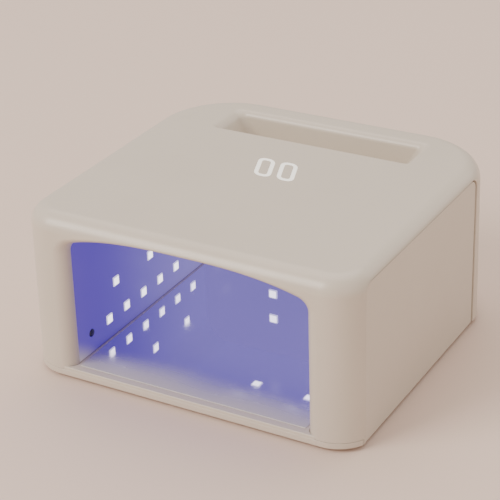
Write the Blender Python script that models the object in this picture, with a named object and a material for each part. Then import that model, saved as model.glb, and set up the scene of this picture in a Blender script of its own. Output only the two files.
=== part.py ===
"""Rechargeable curing lamp for gel nail varnish, modelled as its separate pieces.

The lamp body is a hollow moulded housing with an arched mouth at the front, a finger recess and
grip bar at the back of its top, and a flat cheek let into each side. Inside it are a reflecting
liner, boards with light beads, a control board, cells and a rear panel. It rests on a base tray
with a mirror floor, which stays on the table when the body is lifted off.

The frame has its origin under the middle of the lamp, on the surface it stands on. +X is to the
right of someone who looks into the mouth, +Y goes to the back, and +Z is up. Lengths are in metres.
"""
import math

import bmesh
import bpy
import numpy as np
from mathutils import Matrix, Vector

# Overall form
BODY_WIDTH = 0.2250
CHEEK_WIDTH = 0.2218
BODY_DEPTH = 0.2130
BODY_TOP = 0.1094
FOOT_HEIGHT = 0.0020
SKIRT_HEIGHT = 0.0028
LIP_HEIGHT = 0.0064
FRONT_CORNER = 0.0230
REAR_CORNER = 0.0520
TOP_FILLET = 0.0110
FLARE = 0.0010
WALL = 0.0025
GAP = 0.0003
OVERRUN = 0.0040
FUSE = 0.0004

# Mouth and its bell-shaped rim
MOUTH_FRONT_HALF = 0.0843
MOUTH_HALF = 0.0802
MOUTH_TOP = 0.1023
MOUTH_FRONT_FLARE = 0.0020
MOUTH_DROP = 0.0091
MOUTH_CORNER = 0.0080
RIM_DEPTH = 0.0070
RIM_WALL = 0.0020
CAMBER_POWER = 3.0

# Liner of the chamber
LINER_HALF = 0.0808
LINER_WALL = 0.0018
CHAMBER_BACK = 0.0520
CHAMBER_CEILING = 0.0688
CEILING_CORNER = 0.0180
CEILING_RUN = 0.0800
LINER_FOOT = 0.0078
FLANGE_WIDTH = 0.0090
FLANGE_THICKNESS = 0.0015

# Finger recess
RECESS_HALF = 0.0680
RECESS_BOTTOM_HALF = 0.0540
RECESS_FRONT = 0.0525
RECESS_REAR = 0.0830
RECESS_DEPTH = 0.0240
RECESS_CORNER = 0.0050
RECESS_SLANT = 0.0040

# Side cheeks
CHEEK_THICKNESS = 0.0020
CHEEK_RECESS = 0.0006
CHEEK_FRONT = -0.0925
CHEEK_REAR = 0.0640
CHEEK_TOP = 0.1040
CHEEK_CORNER = 0.0070
CHEEK_GROOVE = 0.0008

# Base tray and mirror floor
TRAY_THICKNESS = 0.0045
TRAY_CHAMFER = 0.0008
LIP_DEPTH = 0.0120
PLATFORM_HALF = 0.0798
PLATFORM_TOP = 0.0084
PLATFORM_REAR = 0.0515
MIRROR_THICKNESS = 0.0010
MIRROR_MARGIN = 0.0020
MIRROR_FRONT_MARGIN = 0.0045
MIRROR_PROUD = 0.0003
FOOT_RADIUS = 0.0070
FOOT_SEAT = 0.0010
FOOT_X = 0.0840
FOOT_FRONT_Y = -0.0840
FOOT_REAR_X = 0.0740
FOOT_REAR_Y = 0.0700
MAGNET_RADIUS = 0.0050
MAGNET_THICKNESS = 0.0020
MAGNET_X = 0.0940
MAGNET_FRONT_Y = -0.0620
MAGNET_REAR_Y = 0.0300

# Chassis frame that closes the body from below
CHASSIS_BOTTOM = 0.0068
CHASSIS_THICKNESS = 0.0032
CHASSIS_FRONT = -0.0985

# Light beads, in rows along the walls and in a square on the ceiling
BEAD_SIZE = 0.0050
BEAD_PROUD = 0.0002
BOARD_THICKNESS = 0.0016
BOARD_STANDOFF = 0.0004
LOW_ROW_Z = 0.0210
HIGH_ROW_Z = 0.0433
ROW_FIRST_Y = -0.0634
BEAD_PITCH = 0.0198
LOW_ROW_COUNT = 6
HIGH_ROW_COUNT = 3
REAR_BEAD_X = 0.0280
REAR_LOW_Z = 0.0225
REAR_HIGH_Z = 0.0415
CEILING_BEAD_X = 0.0195
CEILING_BEAD_Y = 0.0120
BOARD_MARGIN = 0.0060
SENSOR_Y = -0.0832
SENSOR_RADIUS = 0.0025
SENSOR_FLANGE_RADIUS = 0.0032
SENSOR_FLANGE_THICKNESS = 0.0012
SENSOR_SHANK = 0.0050

# Numerals of the timer, and what is under them
DIGIT_WIDTH = 0.0118
DIGIT_HEIGHT = 0.0260
DIGIT_STROKE = 0.0032
DIGIT_PITCH = 0.0160
DIGIT_CENTRE_Y = 0.0095
DIGIT_CORNER = 0.0050
DIGIT_DEPTH = 0.0011
DISPLAY_LENGTH = 0.0420
DISPLAY_WIDTH = 0.0340
DISPLAY_THICKNESS = 0.0060
CONTROL_LENGTH = 0.0800
CONTROL_WIDTH = 0.0560

# Cells, their cradle and the power board
CELL_RADIUS = 0.00925
CELL_LENGTH = 0.0650
CRADLE_WALL = 0.0016
CRADLE_FLOOR = 0.0015
CRADLE_REAR = 0.1000
CRADLE_HEIGHT = 0.0140
POWER_BOARD_LENGTH = 0.1000
POWER_BOARD_WIDTH = 0.0260
POWER_BOARD_Z = 0.0350

# Rear panel, its vents, inlet and switch
PANEL_HALF = 0.0560
PANEL_BOTTOM = 0.0260
PANEL_TOP = 0.0800
PANEL_CORNER = 0.0060
PANEL_THICKNESS = 0.0022
PANEL_LEDGE = 0.0030
VENT_COUNT = 11
VENT_WIDTH = 0.0024
VENT_PITCH = 0.0058
VENT_BOTTOM = 0.0560
VENT_TOP = 0.0740
CONTROL_ROW_Z = 0.0440
INLET_X = 0.0320
INLET_RADIUS = 0.0042
INLET_BORE = 0.0028
INLET_PIN = 0.0010
INLET_BODY = 0.0110
INLET_LENGTH = 0.0150
SWITCH_X = -0.0300
SWITCH_LENGTH = 0.0190
SWITCH_HEIGHT = 0.0126
SWITCH_DEPTH = 0.0120
SWITCH_WALL = 0.0012
ROCKER_TILT = math.radians(9)
ROCKER_CLEARANCE = 0.0004

# Screws from below into the corner posts
POST_RADIUS = 0.0038
SCREW_RADIUS = 0.0015
SCREW_HEAD_RADIUS = 0.0028
SCREW_HEAD = 0.0018
SCREW_LENGTH = 0.0110
POST_X = 0.0960
POST_FRONT_Y = -0.0840
POST_REAR_X = 0.0900
POST_REAR_Y = 0.0640

# Values worked out from the driving dimensions
FRONT = -BODY_DEPTH / 2
REAR = BODY_DEPTH / 2
INNER_TOP = BODY_TOP - WALL
CHEEK_SEAT = CHEEK_WIDTH / 2 - CHEEK_RECESS - CHEEK_THICKNESS - GAP
INNER_SIDE = CHEEK_SEAT - WALL
CHASSIS_TOP = CHASSIS_BOTTOM + CHASSIS_THICKNESS
TRAY_TOP = FOOT_HEIGHT + TRAY_THICKNESS
CIRCLE_STEPS = 20
CORNER_STEPS = 7
REAR_CORNER_STEPS = 10
FILLET_STEPS = 6
ARCH_STEPS = 9

FINISHES = {
    "shell_plastic": ((0.66, 0.62, 0.56), 0.38, 0.0),
    "cheek_plastic": ((0.60, 0.56, 0.51), 0.42, 0.0),
    "liner_plastic": ((0.62, 0.62, 0.80), 0.15, 0.3),
    "mirror_steel": ((0.80, 0.82, 0.86), 0.05, 1.0),
    "board_green": ((0.03, 0.16, 0.08), 0.45, 0.0),
    "bead_glow": ((0.95, 0.93, 1.00), 0.30, 0.0),
    "dark_plastic": ((0.03, 0.03, 0.035), 0.40, 0.0),
    "foot_rubber": ((0.10, 0.10, 0.10), 0.80, 0.0),
    "screw_steel": ((0.55, 0.56, 0.58), 0.30, 1.0),
    "magnet_nickel": ((0.70, 0.70, 0.72), 0.22, 1.0),
    "cell_wrap": ((0.07, 0.20, 0.42), 0.35, 0.0),
    "frame_plastic": ((0.56, 0.54, 0.50), 0.50, 0.0),
    "digit_glow": ((1.00, 0.97, 0.92), 0.30, 0.0),
}


def finish(name):
    """Returns the material of that name, made on its first use."""
    made = bpy.data.materials.get(name)
    if made is None:
        colour, roughness, metallic = FINISHES[name]
        made = bpy.data.materials.new(name)
        made.use_nodes = True
        shader = made.node_tree.nodes["Principled BSDF"]
        shader.inputs["Base Color"].default_value = (*colour, 1)
        shader.inputs["Roughness"].default_value = roughness
        shader.inputs["Metallic"].default_value = metallic
    return made


def loft(rings):
    """A closed solid through rings of points, all of the same count, with flat ends."""
    count = len(rings[0])
    points = [tuple(point) for ring in rings for point in ring]
    faces = [tuple(range(count)), tuple(range(len(points) - count, len(points)))]
    for row in range(len(rings) - 1):
        for column in range(count):
            nearby = (column + 1) % count
            faces.append((
                row * count + column,
                row * count + nearby,
                (row + 1) * count + nearby,
                (row + 1) * count + column,
            ))
    return points, faces


def block(low, high):
    """A box between two corners."""
    (x0, y0, z0), (x1, y1, z1) = low, high
    outline = ((x0, y0), (x1, y0), (x1, y1), (x0, y1))
    return loft([[(x, y, z) for x, y in outline] for z in (z0, z1)])


def prism(outline, axis, start, end):
    """An outline of two coordinates carried along the named axis."""
    place = {
        "x": lambda a, b, along: (along, a, b),
        "y": lambda a, b, along: (a, along, b),
        "z": lambda a, b, along: (a, b, along),
    }[axis]
    return loft([[place(a, b, along) for a, b in outline] for along in (start, end)])


def turned(profile, centre, axis="z"):
    """A solid of revolution from (radius, distance) pairs along an axis through a centre."""
    turn = np.linspace(0, 2 * math.pi, CIRCLE_STEPS, endpoint=False)
    centre_x, centre_y, centre_z = centre
    place = {
        "x": lambda a, b, along: (centre_x + along, centre_y + a, centre_z + b),
        "y": lambda a, b, along: (centre_x + a, centre_y + along, centre_z + b),
        "z": lambda a, b, along: (centre_x + a, centre_y + b, centre_z + along),
    }[axis]
    return loft([
        [place(radius * math.cos(t), radius * math.sin(t), along) for t in turn]
        for radius, along in profile
    ])


def cylinder(radius, centre, start, end, axis="z"):
    """A plain round bar."""
    return turned([(radius, start), (radius, end)], centre, axis)


def make(name, solids, material=None, origin=(0, 0, 0), tilt=None):
    """One mesh object from one or more solids, with its faces turned outwards."""
    shape = bmesh.new()
    for points, faces in solids:
        vertices = [shape.verts.new(Vector(point) - Vector(origin)) for point in points]
        for face in faces:
            shape.faces.new([vertices[index] for index in face])
    bmesh.ops.recalc_face_normals(shape, faces=shape.faces)
    mesh = bpy.data.meshes.new(name)
    shape.to_mesh(mesh)
    shape.free()
    piece = bpy.data.objects.new(name, mesh)
    bpy.context.scene.collection.objects.link(piece)
    piece.location = origin
    if tilt is not None:
        piece.rotation_euler = tilt
    if material:
        mesh.materials.append(finish(material))
        mesh.shade_smooth()
        mesh.set_sharp_from_angle(angle=math.radians(30))
    return piece


def combine(piece, label, solids, operation):
    """Cuts solids out of a piece, or joins them to it, with a Boolean modifier."""
    tool = make(f"{piece.name}_{label}", solids)
    tool.hide_render = True
    tool.hide_viewport = False
    tool.display_type = "WIRE"
    modifier = piece.modifiers.new(label, "BOOLEAN")
    modifier.operation = operation
    modifier.solver = "EXACT"
    modifier.object = tool


def cut(piece, label, *solids):
    combine(piece, label, solids, "DIFFERENCE")


def join(piece, label, *solids):
    combine(piece, label, solids, "UNION")


def plan(width, depth, front_corner, rear_corner):
    """Outline of the body seen from above, with two corner radii, as (x, y) pairs."""
    corners = (
        (width / 2 - front_corner, -depth / 2 + front_corner, front_corner, -90, CORNER_STEPS),
        (width / 2 - rear_corner, depth / 2 - rear_corner, rear_corner, 0, REAR_CORNER_STEPS),
        (-width / 2 + rear_corner, depth / 2 - rear_corner, rear_corner, 90, REAR_CORNER_STEPS),
        (-width / 2 + front_corner, -depth / 2 + front_corner, front_corner, 180, CORNER_STEPS),
    )
    points = []
    for x, y, radius, start, steps in corners:
        for angle in np.radians(start + np.linspace(0, 90, steps + 1)):
            points.append((x + radius * math.cos(angle), y + radius * math.sin(angle)))
    return points


def body_plan(inset, height):
    """The body's outline at a height, moved inwards by an inset; it flares towards the table."""
    inset = inset - FLARE * (BODY_TOP - height) / BODY_TOP
    return plan(
        BODY_WIDTH - 2 * inset,
        BODY_DEPTH - 2 * inset,
        FRONT_CORNER - inset,
        REAR_CORNER - inset,
    )


def body_solid(inset, bottom, top, fillet, half_width):
    """The body's outer or inner form: plain walls, then a fillet to a flat top."""
    levels = [(inset, bottom)]
    for angle in np.linspace(0, math.pi / 2, FILLET_STEPS + 1):
        levels.append((
            inset + fillet * (1 - math.cos(angle)),
            top - fillet + fillet * math.sin(angle),
        ))
    return loft([
        [(min(max(x, -half_width), half_width), y, level) for x, y in body_plan(step, level)]
        for step, level in levels
    ])


def rounded_rectangle(low, high, radius, steps=4):
    """Outline of a rectangle with round corners, as pairs."""
    (a0, b0), (a1, b1) = low, high
    corners = (
        (a1 - radius, b0 + radius, -90),
        (a1 - radius, b1 - radius, 0),
        (a0 + radius, b1 - radius, 90),
        (a0 + radius, b0 + radius, 180),
    )
    return [
        (a + radius * math.cos(angle), b + radius * math.sin(angle))
        for a, b, start in corners
        for angle in np.radians(start + np.linspace(0, 90, steps + 1))
    ]


def arch(half_bottom, half_top, bottom, top, drop, corner):
    """Arched outline in (x, z): straight sides, round shoulders and a cambered crown.

    The crown's height falls off from the middle with a power of the distance, by the drop at the
    sides, and each shoulder is an arc that meets the crown with the crown's own slope.
    """
    edge = half_top - corner
    for _ in range(4):
        slope = math.atan(CAMBER_POWER * drop / half_top * (edge / half_top) ** (CAMBER_POWER - 1))
        edge = half_top - corner * (1 - math.sin(slope))

    def crown(x):
        return top - drop * abs(x / half_top) ** CAMBER_POWER

    centre_z = crown(edge) - corner * math.cos(slope)
    right = [(half_bottom, bottom)]
    for angle in np.linspace(0, math.pi / 2 - slope, CORNER_STEPS):
        right.append((half_top - corner + corner * math.cos(angle), centre_z + corner * math.sin(angle)))
    middle = [(x, crown(x)) for x in np.linspace(edge, -edge, 2 * ARCH_STEPS + 1)[1:-1]]
    left = [(-x, z) for x, z in reversed(right)]
    return right + middle + left


def chamber_section(y, grow, bottom):
    """The liner's section at a depth; it sinks from the mouth's arch to the low ceiling."""
    share = min(max((y - FRONT - RIM_DEPTH) / CEILING_RUN, 0), 1)
    ease = share * share * (3 - 2 * share)
    rim_top = MOUTH_TOP - MOUTH_FRONT_FLARE
    top = rim_top + (CHAMBER_CEILING - rim_top) * ease + grow
    drop = MOUTH_DROP * (1 - ease)
    corner = MOUTH_CORNER + (CEILING_CORNER - MOUTH_CORNER) * ease + grow
    half = LINER_HALF + grow
    return [(x, y, z) for x, z in arch(half, half, bottom, top, drop, corner)]


def chamber_solid(grow, bottom, front, back):
    """The vaulted form of the chamber, grown by a wall for its outside."""
    stations = [front, *np.linspace(FRONT + RIM_DEPTH, FRONT + RIM_DEPTH + CEILING_RUN, 9)[1:], back]
    return loft([chamber_section(y, grow, bottom) for y in stations])


def digit_outline(x, inset):
    """Outline of one round-cornered numeral nought, moved inwards by an inset."""
    half_width = DIGIT_WIDTH / 2 - inset
    half_height = DIGIT_HEIGHT / 2 - inset
    return rounded_rectangle(
        (x - half_width, DIGIT_CENTRE_Y - half_height),
        (x + half_width, DIGIT_CENTRE_Y + half_height),
        DIGIT_CORNER - inset,
    )


def low_row():
    """Depths of the beads in the lower row of a side wall."""
    return [ROW_FIRST_Y + BEAD_PITCH * step for step in range(LOW_ROW_COUNT)]


def high_row():
    """Depths of the beads in the upper row, over every second gap of the lower one."""
    return [ROW_FIRST_Y + BEAD_PITCH / 2 + BEAD_PITCH * 2 * step for step in range(HIGH_ROW_COUNT)]


def side_beads():
    """Centres of a side wall's beads as (y, z)."""
    return [(y, LOW_ROW_Z) for y in low_row()] + [(y, HIGH_ROW_Z) for y in high_row()]


def rear_beads():
    """Centres of the rear wall's beads as (x, z)."""
    return [(x, z) for x in (-REAR_BEAD_X, REAR_BEAD_X) for z in (REAR_LOW_Z, REAR_HIGH_Z)]


def ceiling_beads():
    """Centres of the ceiling's beads as (x, y)."""
    return [(x, y) for x in (-CEILING_BEAD_X, CEILING_BEAD_X) for y in (-CEILING_BEAD_Y, CEILING_BEAD_Y)]


def spread(low, high, side):
    """A box given by low and high corners, mirrored to the left side where side is -1."""
    (x0, y0, z0), (x1, y1, z1) = low, high
    left, right = sorted((side * x0, side * x1))
    return block((left, y0, z0), (right, y1, z1))


def foot_places():
    return {
        "front_left": (-FOOT_X, FOOT_FRONT_Y),
        "front_right": (FOOT_X, FOOT_FRONT_Y),
        "rear_left": (-FOOT_REAR_X, FOOT_REAR_Y),
        "rear_right": (FOOT_REAR_X, FOOT_REAR_Y),
    }


def magnet_places():
    return {
        "front_left": (-MAGNET_X, MAGNET_FRONT_Y),
        "front_right": (MAGNET_X, MAGNET_FRONT_Y),
        "rear_left": (-MAGNET_X, MAGNET_REAR_Y),
        "rear_right": (MAGNET_X, MAGNET_REAR_Y),
    }


def post_places():
    return {
        "front_left": (-POST_X, POST_FRONT_Y),
        "front_right": (POST_X, POST_FRONT_Y),
        "rear_left": (-POST_REAR_X, POST_REAR_Y),
        "rear_right": (POST_REAR_X, POST_REAR_Y),
    }


def rim_sleeve():
    """The short tunnel behind the mouth, as a solid block that the mouth is then cut from."""
    outline = arch(
        MOUTH_FRONT_HALF + RIM_WALL,
        MOUTH_FRONT_HALF + RIM_WALL - FUSE,
        LIP_HEIGHT + GAP,
        MOUTH_TOP + RIM_WALL,
        MOUTH_DROP,
        MOUTH_CORNER + RIM_WALL,
    )
    return prism(outline, "y", FRONT + WALL / 2, FRONT + RIM_DEPTH)


def mouth_cutter():
    """The bell-shaped mouth: a quarter ellipse from the front outline to the narrower one inside."""
    def section(y, share):
        half = MOUTH_HALF + (MOUTH_FRONT_HALF - MOUTH_HALF) * share
        top = MOUTH_TOP - MOUTH_FRONT_FLARE * (1 - share)
        outline = arch(
            half, half - FUSE, SKIRT_HEIGHT - OVERRUN, top, MOUTH_DROP, MOUTH_CORNER)
        return [(x, y, z) for x, z in outline]

    rings = [section(FRONT - OVERRUN, 1)]
    for angle in np.linspace(0, math.pi / 2, FILLET_STEPS):
        rings.append(section(FRONT + RIM_DEPTH * math.sin(angle), math.cos(angle)))
    rings.append(section(FRONT + RIM_DEPTH + OVERRUN, 0))
    return loft(rings)


def recess_solid(grow, top):
    """The finger recess: its ends scoop in as it goes down, and its front wall leans a little."""
    rings = []
    for share in (0, 0, 0.25, 0.5, 0.75, 0.92, 1):
        depth = RECESS_DEPTH * share
        half = RECESS_HALF - (RECESS_HALF - RECESS_BOTTOM_HALF) * share
        front = RECESS_FRONT + RECESS_SLANT * share * share
        rings.append([
            (x, y, BODY_TOP - depth)
            for x, y in rounded_rectangle(
                (-half - grow, front - grow), (half + grow, RECESS_REAR + grow), RECESS_CORNER + grow)
        ])
    rings[0] = [(x, y, top) for x, y, _ in rings[1]]
    if grow:
        rings = rings[:1] + rings[2:]
        rings[-1] = [(x, y, z - grow) for x, y, z in rings[-1]]
    return loft(rings)


def cheek_outline(margin):
    """Outline of a side cheek in (y, z), moved inwards by a margin; its foot is square."""
    low = (CHEEK_FRONT + margin, SKIRT_HEIGHT - CHEEK_CORNER)
    high = (CHEEK_REAR - margin, CHEEK_TOP - margin)
    return rounded_rectangle(low, high, CHEEK_CORNER - margin, CORNER_STEPS)


def build_housing():
    """The moulded top shell with mouth, recess, cheek pockets, posts and numeral grooves."""
    housing = make(
        "upper_housing",
        [body_solid(0, SKIRT_HEIGHT, BODY_TOP, TOP_FILLET, BODY_WIDTH)],
        "shell_plastic",
    )
    reach = BODY_WIDTH
    cut(housing, "cheek_faces", *[
        spread((CHEEK_WIDTH / 2, -reach, -OVERRUN), (reach, reach, BODY_TOP + OVERRUN), side)
        for side in (-1, 1)
    ])
    cut(housing, "cavity", body_solid(
        WALL, SKIRT_HEIGHT - OVERRUN, INNER_TOP, TOP_FILLET - WALL, INNER_SIDE))
    join(housing, "rim", rim_sleeve())
    join(housing, "recess_tub", recess_solid(WALL, BODY_TOP - WALL / 2))
    join(housing, "posts", *[
        cylinder(POST_RADIUS, (x, y, 0), CHASSIS_TOP + GAP, BODY_TOP - WALL / 2)
        for x, y in post_places().values()
    ])
    cut(housing, "mouth", mouth_cutter())
    cut(housing, "recess", recess_solid(0, BODY_TOP + OVERRUN))
    cut(housing, "lip_seat", block(
        (-reach, FRONT - OVERRUN, -OVERRUN), (reach, FRONT + LIP_DEPTH, LIP_HEIGHT + GAP)))
    cut(housing, "cheek_pockets", *[
        prism(cheek_outline(0), "x", *sorted((side * CHEEK_SEAT, side * reach))) for side in (-1, 1)
    ])
    cut(housing, "panel_window", prism(
        rounded_rectangle(
            (-PANEL_HALF + PANEL_LEDGE, PANEL_BOTTOM + PANEL_LEDGE),
            (PANEL_HALF - PANEL_LEDGE, PANEL_TOP - PANEL_LEDGE),
            PANEL_CORNER - PANEL_LEDGE,
        ), "y", REAR - WALL - OVERRUN, REAR + OVERRUN))
    cut(housing, "panel_seat", prism(
        rounded_rectangle(
            (-PANEL_HALF, PANEL_BOTTOM), (PANEL_HALF, PANEL_TOP), PANEL_CORNER),
        "y", REAR - PANEL_THICKNESS / 2, REAR + OVERRUN))
    cut(housing, "pilot_holes", *[
        cylinder(SCREW_RADIUS + GAP, (x, y, 0), CHASSIS_TOP - OVERRUN, CHASSIS_BOTTOM + SCREW_LENGTH + GAP)
        for x, y in post_places().values()
    ])
    for name, x in digit_places().items():
        ring = make("groove", [prism(digit_outline(x, -GAP), "z", BODY_TOP - DIGIT_DEPTH, BODY_TOP + OVERRUN)])
        ring.name = f"{name}_groove"
        ring.hide_render = True
        ring.display_type = "WIRE"
        inner = prism(
            digit_outline(x, DIGIT_STROKE + GAP), "z", BODY_TOP - DIGIT_DEPTH - OVERRUN, BODY_TOP + 2 * OVERRUN)
        cut(ring, "island", inner)
        modifier = housing.modifiers.new(f"{name}_groove", "BOOLEAN")
        modifier.operation = "DIFFERENCE"
        modifier.solver = "EXACT"
        modifier.object = ring
    return housing


def digit_places():
    return {"digit_tens": -DIGIT_PITCH / 2, "digit_units": DIGIT_PITCH / 2}


def build_digits():
    """The two noughts of the timer, flush light guides in grooves of the top."""
    for name, x in digit_places().items():
        digit = make(
            name,
            [prism(digit_outline(x, 0), "z", BODY_TOP - DIGIT_DEPTH + GAP, BODY_TOP)],
            "digit_glow",
        )
        cut(digit, "island", prism(
            digit_outline(x, DIGIT_STROKE), "z", BODY_TOP - DIGIT_DEPTH - OVERRUN, BODY_TOP + OVERRUN))


def build_cheeks():
    """The flat side panels, let into the housing inside a fine groove."""
    for name, side in (("left_cheek", -1), ("right_cheek", 1)):
        start = CHEEK_SEAT + GAP
        cheek = make(
            name,
            [prism(cheek_outline(CHEEK_GROOVE), "x", *sorted((side * start, side * (start + CHEEK_THICKNESS))))],
            "cheek_plastic",
        )
        reach = BODY_DEPTH
        cut(cheek, "foot", spread((0, -reach, -reach), (reach, reach, SKIRT_HEIGHT), side))
        cut(cheek, "lip_seat", spread(
            (0, -reach, -reach), (reach, FRONT + LIP_DEPTH, LIP_HEIGHT + GAP), side))


def build_liner():
    """The reflecting liner: a vault with a rear wall, a flange to stand on and a window per bead."""
    front = FRONT + RIM_DEPTH + GAP
    liner = make(
        "chamber_liner",
        [chamber_solid(LINER_WALL, LINER_FOOT, front, CHAMBER_BACK + LINER_WALL)],
        "liner_plastic",
    )
    flange_low = CHASSIS_TOP + GAP
    flange_high = flange_low + FLANGE_THICKNESS
    outer = LINER_HALF + LINER_WALL
    join(
        liner,
        "flange",
        *[
            spread(
                (outer - FUSE, CHASSIS_FRONT, flange_low),
                (outer + FLANGE_WIDTH, CHAMBER_BACK, flange_high),
                side,
            )
            for side in (-1, 1)
        ],
        block(
            (-outer + FUSE, CHAMBER_BACK + FUSE, flange_low),
            (outer - FUSE, CHAMBER_BACK + LINER_WALL + FLANGE_WIDTH / 3, flange_high),
        ),
    )
    cut(liner, "chamber", chamber_solid(0, LINER_FOOT - OVERRUN, front - OVERRUN, CHAMBER_BACK))
    half = BEAD_SIZE / 2 + GAP
    windows = [
        spread(
            (LINER_HALF - OVERRUN, y - half, z - half),
            (outer + OVERRUN, y + half, z + half),
            side,
        )
        for side in (-1, 1)
        for y, z in side_beads()
    ]
    windows += [
        block((x - half, CHAMBER_BACK - OVERRUN, z - half), (x + half, CHAMBER_BACK + LINER_WALL + OVERRUN, z + half))
        for x, z in rear_beads()
    ]
    windows += [
        block(
            (x - half, y - half, CHAMBER_CEILING - OVERRUN),
            (x + half, y + half, CHAMBER_CEILING + LINER_WALL + OVERRUN),
        )
        for x, y in ceiling_beads()
    ]
    cut(liner, "bead_windows", *windows)
    cut(liner, "sensor_holes", *[
        cylinder(
            SENSOR_RADIUS + GAP,
            (side * LINER_HALF, SENSOR_Y, LOW_ROW_Z),
            -OVERRUN,
            OVERRUN,
            "x",
        )
        for side in (-1, 1)
    ])


def build_light_boards():
    """Boards behind the liner, each with its beads, which reach through the liner's windows."""
    half = BEAD_SIZE / 2
    start = LINER_HALF + LINER_WALL + BOARD_STANDOFF
    bottom = CHASSIS_TOP + GAP + FLANGE_THICKNESS + GAP
    for name, side in (("left_light_board", -1), ("right_light_board", 1)):
        board = make(
            name,
            [spread(
                (start, ROW_FIRST_Y - BOARD_MARGIN, bottom),
                (start + BOARD_THICKNESS, low_row()[-1] + BOARD_MARGIN, HIGH_ROW_Z + BOARD_MARGIN),
                side,
            )],
            "board_green",
        )
        join(board, "beads", *[
            spread(
                (LINER_HALF - BEAD_PROUD, y - half, z - half),
                (start + FUSE, y + half, z + half),
                side,
            )
            for y, z in side_beads()
        ])
    start = CHAMBER_BACK + LINER_WALL + BOARD_STANDOFF
    rear = make(
        "rear_light_board",
        [block(
            (-REAR_BEAD_X - BOARD_MARGIN, start, bottom),
            (REAR_BEAD_X + BOARD_MARGIN, start + BOARD_THICKNESS, REAR_HIGH_Z + BOARD_MARGIN),
        )],
        "board_green",
    )
    join(rear, "beads", *[
        block((x - half, CHAMBER_BACK - BEAD_PROUD, z - half), (x + half, start + FUSE, z + half))
        for x, z in rear_beads()
    ])
    start = CHAMBER_CEILING + LINER_WALL + BOARD_STANDOFF
    ceiling = make(
        "ceiling_light_board",
        [block(
            (-CEILING_BEAD_X - BOARD_MARGIN, -CEILING_BEAD_Y - BOARD_MARGIN, start),
            (CEILING_BEAD_X + BOARD_MARGIN, CEILING_BEAD_Y + BOARD_MARGIN, start + BOARD_THICKNESS),
        )],
        "board_green",
    )
    join(ceiling, "beads", *[
        block((x - half, y - half, CHAMBER_CEILING - BEAD_PROUD), (x + half, y + half, start + FUSE))
        for x, y in ceiling_beads()
    ])


def build_sensors():
    """Hand sensor: a dark emitter in the left wall and its receiver in the right one."""
    for name, side in (("sensor_emitter", -1), ("sensor_receiver", 1)):
        flange = LINER_WALL + GAP
        profile = [
            (SENSOR_RADIUS / 2, -BEAD_PROUD - SENSOR_RADIUS / 4),
            (SENSOR_RADIUS * 0.87, -BEAD_PROUD),
            (SENSOR_RADIUS, SENSOR_RADIUS / 4),
            (SENSOR_RADIUS, flange),
            (SENSOR_FLANGE_RADIUS, flange),
            (SENSOR_FLANGE_RADIUS, flange + SENSOR_FLANGE_THICKNESS),
            (SENSOR_RADIUS, flange + SENSOR_FLANGE_THICKNESS),
            (SENSOR_RADIUS, flange + SENSOR_SHANK),
        ]
        make(
            name,
            [turned(
                [(radius, side * along) for radius, along in profile],
                (side * LINER_HALF, SENSOR_Y, LOW_ROW_Z),
                "x",
            )],
            "dark_plastic",
        )


def build_display():
    """The lit display under the numerals and the control board that carries it."""
    top = INNER_TOP - GAP
    make(
        "display_module",
        [block(
            (-DISPLAY_LENGTH / 2, DIGIT_CENTRE_Y - DISPLAY_WIDTH / 2, top - DISPLAY_THICKNESS),
            (DISPLAY_LENGTH / 2, DIGIT_CENTRE_Y + DISPLAY_WIDTH / 2, top),
        )],
        "dark_plastic",
    )
    board_top = top - DISPLAY_THICKNESS - GAP
    make(
        "control_board",
        [block(
            (-CONTROL_LENGTH / 2, DIGIT_CENTRE_Y - CONTROL_WIDTH / 2, board_top - BOARD_THICKNESS),
            (CONTROL_LENGTH / 2, DIGIT_CENTRE_Y + CONTROL_WIDTH / 2, board_top),
        )],
        "board_green",
    )


def chassis_outline():
    """Inside of the housing with a running gap, as pairs, at the chassis's own height."""
    half = INNER_SIDE - GAP
    return [
        (min(max(x, -half), half), max(y, CHASSIS_FRONT))
        for x, y in body_plan(WALL + GAP, CHASSIS_BOTTOM)
    ]


def build_chassis():
    """The frame under the body: a flat U round the chamber, with seats for screws and magnets."""
    outline = []
    for point in chassis_outline():
        if not outline or math.dist(point, outline[-1]) > GAP:
            outline.append(point)
    chassis = make(
        "chassis_frame", [prism(outline, "z", CHASSIS_BOTTOM, CHASSIS_TOP)], "frame_plastic")
    half = LINER_HALF + LINER_WALL + GAP
    cut(chassis, "chamber", block(
        (-half, FRONT - OVERRUN, -OVERRUN), (half, CHAMBER_BACK + LINER_WALL + GAP, CHASSIS_TOP + OVERRUN)))
    cut(chassis, "magnet_seats", *[
        cylinder(MAGNET_RADIUS + GAP, (x, y, 0), CHASSIS_BOTTOM - OVERRUN, CHASSIS_BOTTOM + MAGNET_THICKNESS + GAP)
        for x, y in magnet_places().values()
    ])
    cut(chassis, "screw_seats", *[
        cylinder(SCREW_HEAD_RADIUS + GAP, (x, y, 0), CHASSIS_BOTTOM - OVERRUN, CHASSIS_BOTTOM + SCREW_HEAD)
        for x, y in post_places().values()
    ])
    cut(chassis, "screw_holes", *[
        cylinder(SCREW_RADIUS + GAP, (x, y, 0), CHASSIS_BOTTOM - OVERRUN, CHASSIS_TOP + OVERRUN)
        for x, y in post_places().values()
    ])


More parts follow.
